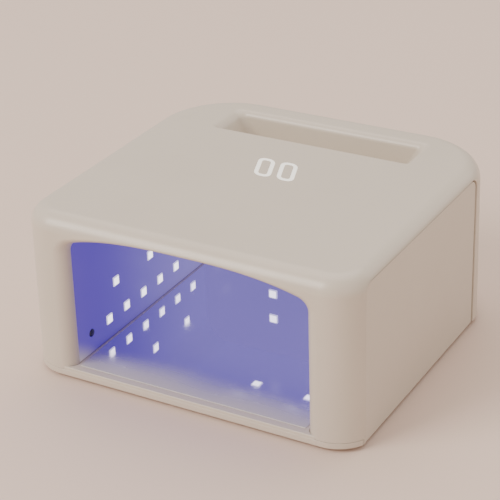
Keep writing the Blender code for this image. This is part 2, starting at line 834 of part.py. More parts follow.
def build_fasteners():
    """Screws through the chassis into the posts, and the magnets that hold body and tray together."""
    for place, (x, y) in post_places().items():
        head_top = CHASSIS_BOTTOM + SCREW_HEAD - GAP
        make(
            f"chassis_screw_{place}",
            [turned(
                [
                    (SCREW_HEAD_RADIUS * 0.8, CHASSIS_BOTTOM),
                    (SCREW_HEAD_RADIUS, CHASSIS_BOTTOM + SCREW_HEAD / 4),
                    (SCREW_HEAD_RADIUS, head_top),
                    (SCREW_RADIUS, head_top),
                    (SCREW_RADIUS, CHASSIS_BOTTOM + SCREW_LENGTH - SCREW_RADIUS),
                    (SCREW_RADIUS / 2, CHASSIS_BOTTOM + SCREW_LENGTH),
                ],
                (x, y, 0),
            )],
            "screw_steel",
        )
    for place, (x, y) in magnet_places().items():
        make(
            f"body_magnet_{place}",
            [cylinder(MAGNET_RADIUS, (x, y, 0), CHASSIS_BOTTOM, CHASSIS_BOTTOM + MAGNET_THICKNESS)],
            "magnet_nickel",
        )
        tray_seat = TRAY_TOP - MAGNET_THICKNESS
        make(
            f"tray_magnet_{place}",
            [cylinder(MAGNET_RADIUS, (x, y, 0), tray_seat, TRAY_TOP)],
            "magnet_nickel",
        )


def tray_outline(height, inset):
    """Plan of the tray inside the housing's skirt."""
    half = INNER_SIDE - GAP - inset
    return [
        (min(max(x, -half), half), y, height)
        for x, y in body_plan(WALL + GAP + inset, SKIRT_HEIGHT)
    ]


def lip_outline(height, inset):
    """Plan of the tray's front lip, which follows the body's front and its corners."""
    back = FRONT + LIP_DEPTH - GAP
    half = CHEEK_WIDTH / 2 - inset
    return [
        (min(max(x, -half), half), min(y, back), height)
        for x, y in body_plan(inset, SKIRT_HEIGHT)
        if y < REAR / 2
    ]


def build_tray():
    """The base tray: plate, front lip and the raised platform that carries the mirror floor."""
    tray = make(
        "base_tray",
        [loft([
            tray_outline(FOOT_HEIGHT, TRAY_CHAMFER),
            tray_outline(FOOT_HEIGHT + TRAY_CHAMFER, 0),
            tray_outline(TRAY_TOP, 0),
        ])],
        "shell_plastic",
    )
    lip_top = LIP_HEIGHT
    join(tray, "lip", loft([
        lip_outline(FOOT_HEIGHT + FUSE, TRAY_CHAMFER),
        lip_outline(FOOT_HEIGHT + FUSE + TRAY_CHAMFER, 0),
        lip_outline(lip_top, 0),
    ]))
    front = body_plan(0, SKIRT_HEIGHT)[0][1]
    low = (-PLATFORM_HALF, front)
    high = (PLATFORM_HALF, PLATFORM_REAR)
    edge = TRAY_CHAMFER
    join(tray, "platform", loft([
        [(x, y, TRAY_TOP - TRAY_CHAMFER) for x, y in rounded_rectangle(low, high, edge)],
        [(x, y, PLATFORM_TOP - edge) for x, y in rounded_rectangle(low, high, edge)],
        [
            (x, y, PLATFORM_TOP)
            for x, y in rounded_rectangle(
                (low[0] + edge / 2, low[1] + edge), (high[0] - edge / 2, high[1] - edge / 2), edge)
        ],
    ]))
    mirror_low, mirror_high = mirror_plan(0)
    depth = PLATFORM_TOP + MIRROR_PROUD - MIRROR_THICKNESS - GAP
    cut(tray, "mirror_seat", block((*mirror_low, depth), (*mirror_high, PLATFORM_TOP + OVERRUN)))
    cut(tray, "foot_seats", *[
        cylinder(FOOT_RADIUS + GAP, (x, y, 0), -OVERRUN, FOOT_HEIGHT + FOOT_SEAT)
        for x, y in foot_places().values()
    ])
    cut(tray, "magnet_seats", *[
        cylinder(MAGNET_RADIUS + GAP, (x, y, 0), TRAY_TOP - MAGNET_THICKNESS - GAP, TRAY_TOP + OVERRUN)
        for x, y in magnet_places().values()
    ])


def mirror_plan(gap):
    """Low and high corners of the mirror's seat, or of the mirror where a gap is given."""
    front = FRONT + MIRROR_FRONT_MARGIN
    return (
        (-PLATFORM_HALF + MIRROR_MARGIN + gap, front + gap),
        (PLATFORM_HALF - MIRROR_MARGIN - gap, PLATFORM_REAR - MIRROR_MARGIN - gap),
    )


def build_mirror_and_feet():
    """The polished floor plate and the four rubber feet."""
    low, high = mirror_plan(GAP)
    top = PLATFORM_TOP + MIRROR_PROUD
    make(
        "mirror_floor",
        [block((*low, top - MIRROR_THICKNESS), (*high, top))],
        "mirror_steel",
    )
    for place, (x, y) in foot_places().items():
        edge = FOOT_HEIGHT / 4
        make(
            f"foot_{place}",
            [turned(
                [
                    (FOOT_RADIUS - edge, 0),
                    (FOOT_RADIUS, edge),
                    (FOOT_RADIUS, FOOT_HEIGHT + FOOT_SEAT - GAP),
                ],
                (x, y, 0),
            )],
            "foot_rubber",
        )


def cell_places():
    """Centres of the cells: two side by side, at the left and at the right."""
    pitch = 2 * CELL_RADIUS + CRADLE_WALL
    first = CRADLE_REAR - CRADLE_WALL - GAP - CELL_RADIUS
    height = CHASSIS_TOP + GAP + CRADLE_FLOOR + GAP + CELL_RADIUS
    reach = CELL_LENGTH / 2 + CRADLE_WALL / 2 + GAP
    return {
        f"cell_{number}": (side * reach, first - pitch * row, height)
        for number, (side, row) in enumerate(((-1, 0), (1, 0), (-1, 1), (1, 1)), 1)
    }


def build_power():
    """The cells in their cradle and the power board on the cradle's four pillars."""
    places = cell_places()
    bottom = CHASSIS_TOP + GAP
    rows = sorted({y for _, y, _ in places.values()})
    front = rows[0] - CELL_RADIUS - GAP - CRADLE_WALL
    reach = CELL_LENGTH + CRADLE_WALL * 1.5 + 2 * GAP
    cradle = make(
        "cell_cradle",
        [block((-reach, front, bottom), (reach, CRADLE_REAR, bottom + CRADLE_HEIGHT))],
        "frame_plastic",
    )
    cut(cradle, "cell_bays", *[
        block(
            (x - CELL_LENGTH / 2 - GAP, y - CELL_RADIUS - GAP, bottom + CRADLE_FLOOR),
            (x + CELL_LENGTH / 2 + GAP, y + CELL_RADIUS + GAP, bottom + CRADLE_HEIGHT + OVERRUN),
        )
        for x, y, _ in places.values()
    ])
    for name, (x, y, z) in places.items():
        step = CRADLE_WALL / 4
        make(
            name,
            [turned(
                [
                    (CELL_RADIUS / 3, -CELL_LENGTH / 2),
                    (CELL_RADIUS / 3, -CELL_LENGTH / 2 + 2 * step),
                    (CELL_RADIUS - step, -CELL_LENGTH / 2 + 2 * step),
                    (CELL_RADIUS, -CELL_LENGTH / 2 + 3 * step),
                    (CELL_RADIUS, CELL_LENGTH / 2 - step),
                    (CELL_RADIUS - step, CELL_LENGTH / 2),
                ],
                (x, y, z),
                "x",
            )],
            "cell_wrap",
        )
    middle = sum(rows) / len(rows)
    pillar = CRADLE_WALL
    join(cradle, "pillars", *[
        block(
            (x - pillar, middle - CRADLE_WALL / 2, bottom + CRADLE_FLOOR / 2),
            (x + pillar, middle + CRADLE_WALL / 2, POWER_BOARD_Z - GAP),
        )
        for x in (-POWER_BOARD_LENGTH / 3, POWER_BOARD_LENGTH / 3)
    ])
    make(
        "power_board",
        [block(
            (-POWER_BOARD_LENGTH / 2, REAR - WALL - OVERRUN - POWER_BOARD_WIDTH, POWER_BOARD_Z),
            (POWER_BOARD_LENGTH / 2, REAR - WALL - OVERRUN, POWER_BOARD_Z + BOARD_THICKNESS),
        )],
        "board_green",
    )


def switch_box(grow, start, end):
    """A box round the switch, grown to each side, between two depths."""
    return block(
        (SWITCH_X - SWITCH_LENGTH / 2 - grow, start, CONTROL_ROW_Z - SWITCH_HEIGHT / 2 - grow),
        (SWITCH_X + SWITCH_LENGTH / 2 + grow, end, CONTROL_ROW_Z + SWITCH_HEIGHT / 2 + grow),
    )


def build_rear_panel():
    """The rear panel with its vents, and holes for the inlet and the switch."""
    inner = REAR - PANEL_THICKNESS / 2 + GAP
    panel = make(
        "rear_panel",
        [prism(
            rounded_rectangle(
                (-PANEL_HALF + GAP, PANEL_BOTTOM + GAP), (PANEL_HALF - GAP, PANEL_TOP - GAP), PANEL_CORNER - GAP),
            "y", inner, REAR)],
        "cheek_plastic",
    )
    ledge = PANEL_LEDGE + GAP
    join(panel, "tray", prism(
        rounded_rectangle(
            (-PANEL_HALF + ledge, PANEL_BOTTOM + ledge), (PANEL_HALF - ledge, PANEL_TOP - ledge), PANEL_CORNER - ledge),
        "y", REAR - PANEL_THICKNESS, inner + FUSE))
    first = -VENT_PITCH * (VENT_COUNT - 1) / 2
    cut(panel, "vents", *[
        prism(
            rounded_rectangle((x - VENT_WIDTH / 2, VENT_BOTTOM), (x + VENT_WIDTH / 2, VENT_TOP), VENT_WIDTH / 2.2, 3),
            "y", REAR - PANEL_THICKNESS - OVERRUN, REAR + OVERRUN)
        for x in (first + VENT_PITCH * step for step in range(VENT_COUNT))
    ])
    cut(panel, "inlet_hole", cylinder(
        INLET_RADIUS + GAP, (INLET_X, REAR, CONTROL_ROW_Z), -PANEL_THICKNESS - OVERRUN, OVERRUN, "y"))
    cut(panel, "switch_hole", switch_box(GAP, REAR - PANEL_THICKNESS - OVERRUN, REAR + OVERRUN))


def build_inlet():
    """The charging inlet: a barrel with a centre pin on a square body."""
    back = REAR - PANEL_THICKNESS - GAP
    half = INLET_BODY / 2
    floor = POWER_BOARD_Z + BOARD_THICKNESS + GAP
    inlet = make(
        "power_inlet",
        [block((INLET_X - half, back - INLET_LENGTH, floor), (INLET_X + half, back, CONTROL_ROW_Z + half))],
        "dark_plastic",
    )
    depth = REAR - CHEEK_RECESS
    join(inlet, "barrel", cylinder(INLET_RADIUS, (INLET_X, 0, CONTROL_ROW_Z), back - FUSE, depth, "y"))
    cut(inlet, "bore", cylinder(
        INLET_BORE, (INLET_X, 0, CONTROL_ROW_Z), back - INLET_LENGTH * 0.6, REAR + OVERRUN, "y"))
    join(inlet, "pin", cylinder(
        INLET_PIN, (INLET_X, 0, CONTROL_ROW_Z), back - INLET_LENGTH * 0.8, depth - CHEEK_RECESS, "y"))


def build_switch():
    """The power switch: a clipped frame and the rocker that tips in it about an upright pin."""
    face = REAR
    frame = make("switch_frame", [switch_box(0, face - SWITCH_DEPTH, face - CHEEK_RECESS)], "dark_plastic")
    cut(frame, "well", switch_box(
        -SWITCH_WALL, face - SWITCH_DEPTH + SWITCH_WALL, face + OVERRUN))
    half_length = SWITCH_LENGTH / 2 - SWITCH_WALL - ROCKER_CLEARANCE
    half_height = SWITCH_HEIGHT / 2 - SWITCH_WALL - ROCKER_CLEARANCE
    pivot = face - SWITCH_DEPTH / 2
    crest = face - CHEEK_RECESS - pivot
    wing = crest - half_length * math.tan(ROCKER_TILT) / 2
    tip = (half_length - wing * math.sin(ROCKER_TILT)) / math.cos(ROCKER_TILT)
    root = SWITCH_DEPTH / 2 - SWITCH_WALL - ROCKER_CLEARANCE
    outline = [(tip, wing), (0, crest), (-tip, wing)]
    outline += [
        (-root * math.cos(angle), -root * math.sin(angle))
        for angle in np.linspace(0, math.pi, 9)
    ]
    centre = (SWITCH_X, pivot, CONTROL_ROW_Z)
    make(
        "power_rocker",
        [prism(
            [(SWITCH_X + x, pivot + y) for x, y in outline],
            "z",
            CONTROL_ROW_Z - half_height,
            CONTROL_ROW_Z + half_height,
        )],
        "shell_plastic",
        origin=centre,
        tilt=(0, 0, ROCKER_TILT),
    )


def main():
    for leftover in list(bpy.data.objects):
        bpy.data.objects.remove(leftover, do_unlink=True)
    build_tray()
    build_mirror_and_feet()
    build_housing()
    build_digits()
    build_cheeks()
    build_liner()
    build_light_boards()
    build_sensors()
    build_display()
    build_chassis()
    build_fasteners()
    build_power()
    build_rear_panel()
    build_inlet()
    build_switch()


main()
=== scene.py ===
"""Looks of the curing lamp for gel nail varnish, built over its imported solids.

Lengths are in metres, in the frame of the solids: +X to the right of someone who looks into the
mouth, +Y to the back and +Z up, with the origin on the table under the middle of the lamp.
"""
from __future__ import annotations

import logging
import math
from dataclasses import dataclass, field
from enum import Enum
from typing import Callable, Iterable, Sequence

import bpy
import numpy as np
from mathutils import Matrix, Vector


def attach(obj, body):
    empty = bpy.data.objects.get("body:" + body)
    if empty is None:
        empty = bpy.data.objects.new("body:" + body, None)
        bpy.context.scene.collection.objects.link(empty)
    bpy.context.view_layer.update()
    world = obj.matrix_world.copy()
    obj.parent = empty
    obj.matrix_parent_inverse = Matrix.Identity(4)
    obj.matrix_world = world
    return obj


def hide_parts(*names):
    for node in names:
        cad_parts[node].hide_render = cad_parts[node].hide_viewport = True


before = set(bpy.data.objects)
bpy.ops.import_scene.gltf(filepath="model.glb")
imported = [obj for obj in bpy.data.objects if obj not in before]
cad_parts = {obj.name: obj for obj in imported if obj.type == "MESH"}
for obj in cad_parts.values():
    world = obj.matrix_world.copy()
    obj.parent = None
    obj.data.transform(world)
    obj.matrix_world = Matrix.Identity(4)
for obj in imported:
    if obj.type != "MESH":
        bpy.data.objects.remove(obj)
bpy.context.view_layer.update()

LOG = logging.getLogger("lamp")
PLACES = ("front_left", "front_right", "rear_left", "rear_right")
QUARTER = math.pi / 2
FULL = 2 * math.pi
LEAST_CORNER = 1e-5
LEAST_RADIUS = 1e-6
SLOPE_ROUNDS = 5
NOISE_MIDDLE = 0.5
VECTOR = "NodeSocketVector"
NUMBER = "NodeSocketFloat"
COLOUR = "NodeSocketColor"

Colour = tuple[float, float, float]
Pair = tuple[float, float]


class Carve(Enum):
    """What a tool solid does to a piece."""

    CUT = "DIFFERENCE"
    JOIN = "UNION"


class Side(Enum):
    """The two sides of the lamp, as the sign of their X."""

    LEFT = -1
    RIGHT = 1


class Wall(Enum):
    """The four lit walls of the chamber."""

    LEFT = "left"
    RIGHT = "right"
    REAR = "rear"
    CEILING = "ceiling"


# Node graphs


class Graph:
    """A short way to add and join shader nodes."""

    def __init__(self, tree: bpy.types.NodeTree) -> None:
        """Keeps the tree that the nodes go into.

        Args:
            tree: the node tree of a material or a group.
        """
        self.tree = tree

    def add(self, kind: str, inputs: dict | None = None, **settings: object) -> bpy.types.Node:
        """Adds a node.

        Args:
            kind: the node's type, without its ShaderNode prefix.
            inputs: values or sockets for its inputs, by name or number.
            settings: properties of the node.

        Returns:
            The new node.
        """
        node = self.tree.nodes.new("ShaderNode" + kind)
        for key, value in settings.items():
            if key == "group":
                node.node_tree = value
            else:
                setattr(node, key, value)
        self.feed(node, inputs or {})
        return node

    def feed(self, node: bpy.types.Node, inputs: dict) -> None:
        """Fills a node's inputs: a socket is linked, and a value is set.

        Args:
            node: the node.
            inputs: values or sockets by the input's name or number.
        """
        for key, value in inputs.items():
            if isinstance(value, bpy.types.NodeSocket):
                self.tree.links.new(value, node.inputs[key])
            else:
                node.inputs[key].default_value = value

    def group(self, name: str, inputs: dict) -> bpy.types.Node:
        """Adds one of the shared node groups.

        Args:
            name: the group's name.
            inputs: values or sockets by the input's name.

        Returns:
            The new node.
        """
        return self.add("Group", inputs, group=Effects.get(name))

    def math(self, operation: str, first: object, second: object = 0.0, third: object = 0.0
             ) -> bpy.types.NodeSocket:
        """Adds a Math node.

        Args:
            operation: the node's operation.
            first: value or socket.
            second: value or socket.
            third: value or socket.

        Returns:
            Its output socket.
        """
        return self.add("Math", {0: first, 1: second, 2: third}, operation=operation).outputs[0]

    def blend(self, share: object, first: object, second: object) -> bpy.types.NodeSocket:
        """Mixes two colours.

        Args:
            share: how much of the second one there is.
            first: colour or socket.
            second: colour or socket.

        Returns:
            The colour socket.
        """
        node = self.add("Mix", {0: share, 6: first, 7: second}, data_type="RGBA")
        return node.outputs[2]

    def ramp(self, value: bpy.types.NodeSocket, low: float, high: float, first: float = 0.0,
             second: float = 1.0) -> bpy.types.NodeSocket:
        """Carries a value smoothly from one range to another, and keeps it inside.

        Args:
            value: the socket that is read.
            low: value at which the result is first.
            high: value at which the result is second.
            first: result below the range.
            second: result above the range.

        Returns:
            The result's socket.
        """
        node = self.add(
            "MapRange",
            {"Value": value, "From Min": low, "From Max": high, "To Min": first, "To Max": second},
            interpolation_type="SMOOTHSTEP",
        )
        return node.outputs[0]


def new_group(name: str, inputs: Sequence[tuple], outputs: Sequence[tuple[str, str]]
              ) -> tuple[Graph, bpy.types.bpy_prop_collection, bpy.types.Node]:
    """Starts a shader node group with named sockets.

    Args:
        name: the group's name.
        inputs: name and socket type of each input, and a number's default.
        outputs: name and socket type of each output.

    Returns:
        The group's graph, the sockets that it is given and its output node.
    """
    tree = bpy.data.node_groups.new(name, "ShaderNodeTree")
    for label, kind, *default in inputs:
        socket = tree.interface.new_socket(label, in_out="INPUT", socket_type=kind)
        if default:
            socket.default_value = default[0]
    for label, kind in outputs:
        tree.interface.new_socket(label, in_out="OUTPUT", socket_type=kind)
    start = tree.nodes.new("NodeGroupInput")
    return Graph(tree), start.outputs, tree.nodes.new("NodeGroupOutput")


class Effects:
    """The node groups that several finishes use, each built once."""

    made: dict[str, bpy.types.NodeTree] = {}
    coarse_share = 0.05
    coarse_height = 0.3
    mottle_low = 0.35
    mottle_high = 0.70
    brush_stretch = (60, 3000, 3000)
    fade_noise = 18.0
    fade_wobble = 0.012

    @classmethod
    def get(cls, name: str) -> bpy.types.NodeTree:
        """Returns a group by name, built on its first use."""
        if name not in cls.made:
            cls.made[name] = {
                "moulded_grain": cls.moulded_grain,
                "slow_mottle": cls.slow_mottle,
                "brushed_lines": cls.brushed_lines,
                "front_fade": cls.front_fade,
            }[name]()
        return cls.made[name]

    @classmethod
    def moulded_grain(cls) -> bpy.types.NodeTree:
        """Fine spark-eroded grain of a moulded face: two sizes of noise, as height and roughness."""
        graph, given, end = new_group(
            "moulded_grain",
            (("Vector", VECTOR), ("Scale", NUMBER, 900), ("Roughness", NUMBER, 0.4),
             ("Spread", NUMBER, 0.05)),
            (("Height", NUMBER), ("Roughness", NUMBER)),
        )
        place = given["Vector"]
        fine = graph.add("TexNoise", {"Vector": place, "Scale": given["Scale"], "Detail": 3.0,
                                      "Roughness": 0.6}).outputs["Fac"]
        scale = graph.math("MULTIPLY", given["Scale"], cls.coarse_share)
        coarse = graph.add("TexNoise", {"Vector": place, "Scale": scale, "Detail": 2.0}).outputs["Fac"]
        offset = graph.math("SUBTRACT", coarse, NOISE_MIDDLE)
        graph.feed(end, {
            "Height": graph.math("MULTIPLY_ADD", coarse, cls.coarse_height, fine),
            "Roughness": graph.math("MULTIPLY_ADD", offset, given["Spread"], given["Roughness"]),
        })
        return graph.tree

    @classmethod
    def slow_mottle(cls) -> bpy.types.NodeTree:
        """Slow drift of a moulding's tone: a base colour mixed with a second one by broad noise."""
        graph, given, end = new_group(
            "slow_mottle",
            (("Vector", VECTOR), ("Scale", NUMBER, 14), ("Amount", NUMBER, 0.3), ("Base", COLOUR),
             ("Drift", COLOUR)),
            (("Color", COLOUR),),
        )
        noise = graph.add("TexNoise", {"Vector": given["Vector"], "Scale": given["Scale"], "Detail": 4.0,
                                       "Roughness": 0.55})
        mask = graph.ramp(noise.outputs["Fac"], cls.mottle_low, cls.mottle_high)
        share = graph.math("MULTIPLY", mask, given["Amount"])
        graph.feed(end, {"Color": graph.blend(share, given["Base"], given["Drift"])})
        return graph.tree

    @classmethod
    def brushed_lines(cls) -> bpy.types.NodeTree:
        """Fine lines of a brushed face: noise stretched along one axis, as height and roughness."""
        graph, given, end = new_group(
            "brushed_lines",
            (("Vector", VECTOR), ("Roughness", NUMBER, 0.3), ("Spread", NUMBER, 0.1)),
            (("Height", NUMBER), ("Roughness", NUMBER)),
        )
        stretch = graph.add("Mapping", {"Vector": given["Vector"], "Scale": cls.brush_stretch})
        noise = graph.add("TexNoise", {"Vector": stretch.outputs[0], "Scale": 1.0, "Detail": 3.0})
        offset = graph.math("SUBTRACT", noise.outputs["Fac"], NOISE_MIDDLE)
        graph.feed(end, {
            "Height": noise.outputs["Fac"],
            "Roughness": graph.math("MULTIPLY_ADD", offset, given["Spread"], given["Roughness"]),
        })
        return graph.tree

    @classmethod
    def front_fade(cls) -> bpy.types.NodeTree:
        """Mask of the painted sill light: one at the chamber's front sill, falling to zero deeper in and
        higher up.

        The distance is the depth behind the front plus a share of the height over the floor, and a
        smooth step turns it into the mask.
        """
        graph, given, end = new_group(
            "front_fade",
            (("Vector", VECTOR), ("Near", NUMBER, 0.01), ("Far", NUMBER, 0.04), ("Rise", NUMBER, 1.0)),
            (("Mask", NUMBER),),
        )
        tray = BaseTray()
        parts = graph.add("SeparateXYZ", {"Vector": given["Vector"]})
        depth = graph.math("SUBTRACT", parts.outputs["Y"], FORM.front)
        height = graph.math("SUBTRACT", parts.outputs["Z"], tray.platform_top + tray.proud)
        distance = graph.math("MULTIPLY_ADD", height, given["Rise"], depth)
        wobble = graph.add("TexNoise", {"Vector": given["Vector"], "Scale": cls.fade_noise, "Detail": 1.0})
        offset = graph.math("SUBTRACT", wobble.outputs["Fac"], NOISE_MIDDLE)
        drift = graph.math("MULTIPLY_ADD", offset, cls.fade_wobble, distance)
        graph.feed(end, {"Mask": graph.ramp(drift, given["Near"], given["Far"], 1.0, 0.0)})
        return graph.tree


# Finishes


@dataclass(frozen=True)
class Finish:
    """A finish: its name, its colour and how rough and metallic it is."""

    name: str
    colour: Colour
    roughness: float = 0.4
    metallic: float = 0.0

    def material(self) -> bpy.types.Material:
        """Returns the finish's material, built on its first use."""
        made = bpy.data.materials.get(self.name)
        if made is None:
            made = bpy.data.materials.new(self.name)
            made.use_nodes = True
            graph = Graph(made.node_tree)
            shader = made.node_tree.nodes["Principled BSDF"]
            graph.feed(shader, {"Base Color": (*self.colour, 1), "Roughness": self.roughness,
                                "Metallic": self.metallic})
            self.dress(graph, shader)
        return made

    def dress(self, graph: Graph, shader: bpy.types.Node) -> None:
        """Adds the finish's own nodes; the plain finish has none."""

    @staticmethod
    def place(graph: Graph) -> bpy.types.NodeSocket:
        """Returns the socket of the object's own coordinates."""
        return graph.add("TexCoord").outputs["Object"]

    @staticmethod
    def bump(graph: Graph, shader: bpy.types.Node, height: bpy.types.NodeSocket, strength: float,
             distance: float) -> None:
        """Feeds a height into the shader's normal.

        Args:
            graph: the material's graph.
            shader: the node that gets the normal.
            height: socket of the height.
            strength: strength of the bump.
            distance: height of one unit, in metres.
        """
        node = graph.add("Bump", {"Height": height, "Strength": strength, "Distance": distance})
        graph.feed(shader, {"Normal": node.outputs["Normal"]})


@dataclass(frozen=True)
class Moulded(Finish):
    """Moulded plastic with fine grain and a slow drift of tone."""

    drift: Colour = (0.5, 0.5, 0.5)
    drift_amount: float = 0.35
    drift_scale: float = 14.0
    grain_scale: float = 1100.0
    grain: float = 0.12
    grain_height: float = 0.00008
    spread: float = 0.08
    coat: float = 0.0
    coat_roughness: float = 0.12

    def dress(self, graph: Graph, shader: bpy.types.Node) -> None:
        """Adds mottle to the colour, and grain to roughness and normal."""
        place = self.place(graph)
        mottle = graph.group("slow_mottle", {
            "Vector": place, "Scale": self.drift_scale, "Amount": self.drift_amount,
            "Base": (*self.colour, 1), "Drift": (*self.drift, 1)})
        grain = graph.group("moulded_grain", {
            "Vector": place, "Scale": self.grain_scale, "Roughness": self.roughness, "Spread": self.spread})
        graph.feed(shader, {
            "Base Color": mottle.outputs["Color"], "Roughness": grain.outputs["Roughness"],
            "Coat Weight": self.coat, "Coat Roughness": self.coat_roughness})
        self.bump(graph, shader, grain.outputs["Height"], self.grain, self.grain_height)


@dataclass(frozen=True)
class LitLiner(Finish):
    """Liner whose emission paints light on its walls: the violet light of the beads, and paler painted light
    towards the sill of the mouth.
    """

    # painted light: these emission colours stand in for the beads' light on the liner, deeper in and at the
    # sill
    glow: Colour = (0.048, 0.022, 0.350)
    glow_deep: Colour = (0.230, 0.190, 0.520)
    deep_start: float = -0.09
    deep_end: float = 0.05
    pale: Colour = (0.40, 0.34, 0.32)
    pale_near: float = 0.004
    pale_far: float = 0.030
    pale_rise: float = 1.3
    strength: float = 1.0
    grain_scale: float = 700.0
    grain: float = 0.05
    grain_height: float = 0.00006
    spread: float = 0.06

    def dress(self, graph: Graph, shader: bpy.types.Node) -> None:
        """Adds the painted glow by depth, the painted pale light at the lower front corner and a soft gloss.
        """
        place = self.place(graph)
        fade = graph.group("front_fade", {
            "Vector": place, "Near": self.pale_near, "Far": self.pale_far, "Rise": self.pale_rise})
        parts = graph.add("SeparateXYZ", {"Vector": place})
        depth = graph.ramp(parts.outputs["Y"], self.deep_start, self.deep_end)
        glow = graph.blend(depth, (*self.glow, 1), (*self.glow_deep, 1))
        grain = graph.group("moulded_grain", {
            "Vector": place, "Scale": self.grain_scale, "Roughness": self.roughness, "Spread": self.spread})
        # painted light: the emission mixes the painted violet glow with the painted pale light at the sill
        graph.feed(shader, {
            "Emission Color": graph.blend(fade.outputs["Mask"], glow, (*self.pale, 1)),
            "Emission Strength": self.strength, "Roughness": grain.outputs["Roughness"]})
        self.bump(graph, shader, grain.outputs["Height"], self.grain, self.grain_height)


@dataclass(frozen=True)
class MirrorFloor(Finish):
    """Polished plate that turns paler, rougher and less metallic towards the sill of the mouth, where the
    pale colour paints light falling in through the mouth.
    """

    # painted light: pale colour of the light falling on the floor at the sill
    pale: Colour = (0.66, 0.62, 0.58)
    pale_near: float = 0.002
    pale_far: float = 0.034
    satin: float = 0.35
    metal_loss: float = 0.85
    wipe_scale: float = 45.0
    wipe_low: float = 0.5
    wipe_high: float = 0.8
    wipe_haze: float = 0.10

    def dress(self, graph: Graph, shader: bpy.types.Node) -> None:
        """Adds the painted pale light at the front, with more roughness and less metal there, and faint wipe
        marks in the polish.
        """
        place = self.place(graph)
        fade = graph.group("front_fade", {
            "Vector": place, "Near": self.pale_near, "Far": self.pale_far, "Rise": 0.0}).outputs["Mask"]
        wipe = graph.add("TexNoise", {"Vector": place, "Scale": self.wipe_scale, "Detail": 5.0,
                                      "Distortion": 1.5})
        marks = graph.ramp(wipe.outputs["Fac"], self.wipe_low, self.wipe_high, self.roughness,
                           self.roughness + self.wipe_haze)
        # painted light: the base colour pales towards the sill
        graph.feed(shader, {
            "Base Color": graph.blend(fade, (*self.colour, 1), (*self.pale, 1)),
            "Roughness": graph.math("MULTIPLY_ADD", fade, self.satin, marks),
            "Metallic": graph.math("SUBTRACT", 1.0, graph.math("MULTIPLY", fade, self.metal_loss))})


@dataclass(frozen=True)
class Glowing(Finish):
    """Lit material of one colour with a slightly uneven brightness."""

    light: Colour = (1.0, 1.0, 1.0)
    strength: float = 2.0
    unevenness: float = 0.15
    dim_share: float = 0.7
    noise_scale: float = 400.0

    def dress(self, graph: Graph, shader: bpy.types.Node) -> None:
        """Adds emission that varies a little over the face."""
        noise = graph.add("TexNoise", {"Vector": self.place(graph), "Scale": self.noise_scale, "Detail": 2.0})
        share = graph.math("MULTIPLY", noise.outputs["Fac"], self.unevenness)
        dim = tuple(self.dim_share * channel for channel in self.light)
        graph.feed(shader, {"Emission Color": graph.blend(share, (*self.light, 1), (*dim, 1)),
                            "Emission Strength": self.strength})


@dataclass(frozen=True)
class Board(Finish):
    """Circuit board: lacquer over copper tracks, with rows of tinned pads."""

    track: Colour = (0.05, 0.27, 0.13)
    pad: Colour = (0.72, 0.70, 0.66)
    pad_scale: float = 260.0
    pad_inner: float = 0.16
    pad_outer: float = 0.20
    pad_polish: float = -0.12
    track_scale: float = 90.0
    track_width: float = 0.03
    relief: float = 0.4
    relief_height: float = 0.00004

    def dress(self, graph: Graph, shader: bpy.types.Node) -> None:
        """Adds tracks from a brick pattern and pads from cells."""
        place = self.place(graph)
        cells = graph.add("TexVoronoi", {"Vector": place, "Scale": self.pad_scale}, distance="CHEBYCHEV")
        pads = graph.ramp(cells.outputs["Distance"], self.pad_inner, self.pad_outer, 1.0, 0.0)
        black, white = (0, 0, 0, 1), (1, 1, 1, 1)
        tracks = graph.add("TexBrick", {
            "Vector": place, "Scale": self.track_scale, "Mortar Size": self.track_width,
            "Color1": black, "Color2": black, "Mortar": white})
        lacquer = graph.blend(tracks.outputs["Color"], (*self.colour, 1), (*self.track, 1))
        graph.feed(shader, {
            "Base Color": graph.blend(pads, lacquer, (*self.pad, 1)), "Metallic": pads,
            "Roughness": graph.math("MULTIPLY_ADD", pads, self.pad_polish, self.roughness)})
        self.bump(graph, shader, tracks.outputs["Fac"], self.relief, self.relief_height)


@dataclass(frozen=True)
class Brushed(Finish):
    """Metal with fine drawn lines."""

    spread: float = 0.14
    dull_share: float = 0.8
    drift_scale: float = 120.0
    drift_amount: float = 0.5
    relief: float = 0.08
    relief_height: float = 0.00003

    def dress(self, graph: Graph, shader: bpy.types.Node) -> None:
        """Adds the lines to roughness and normal, and a slow drift of tone."""
        place = self.place(graph)
        lines = graph.group("brushed_lines", {
            "Vector": place, "Roughness": self.roughness, "Spread": self.spread})
        dull = tuple(self.dull_share * channel for channel in self.colour)
        mottle = graph.group("slow_mottle", {
            "Vector": place, "Scale": self.drift_scale, "Amount": self.drift_amount,
            "Base": (*self.colour, 1), "Drift": (*dull, 1)})
        graph.feed(shader, {"Base Color": mottle.outputs["Color"], "Roughness": lines.outputs["Roughness"]})
        self.bump(graph, shader, lines.outputs["Height"], self.relief, self.relief_height)


@dataclass(frozen=True)
class CellSleeve(Finish):
    """Shrunk sleeve round a cell, with bare steel ends."""

    reach: float = 0.0662
    blur: float = 0.0006
    bare: Colour = (0.62, 0.62, 0.64)
    wrinkle_scale: float = 160.0
    wrinkle: float = 0.2
    wrinkle_height: float = 0.0001

    def dress(self, graph: Graph, shader: bpy.types.Node) -> None:
        """Adds the bare ends by the distance from the middle of the lamp."""
        place = self.place(graph)
        parts = graph.add("SeparateXYZ", {"Vector": place})
        away = graph.math("ABSOLUTE", parts.outputs["X"])
        ends = graph.ramp(away, self.reach - self.blur, self.reach)
        wrinkles = graph.add("TexNoise", {"Vector": place, "Scale": self.wrinkle_scale, "Detail": 3.0})
        graph.feed(shader, {"Base Color": graph.blend(ends, (*self.colour, 1), (*self.bare, 1)),
                            "Metallic": ends})
        self.bump(graph, shader, wrinkles.outputs["Fac"], self.wrinkle, self.wrinkle_height)


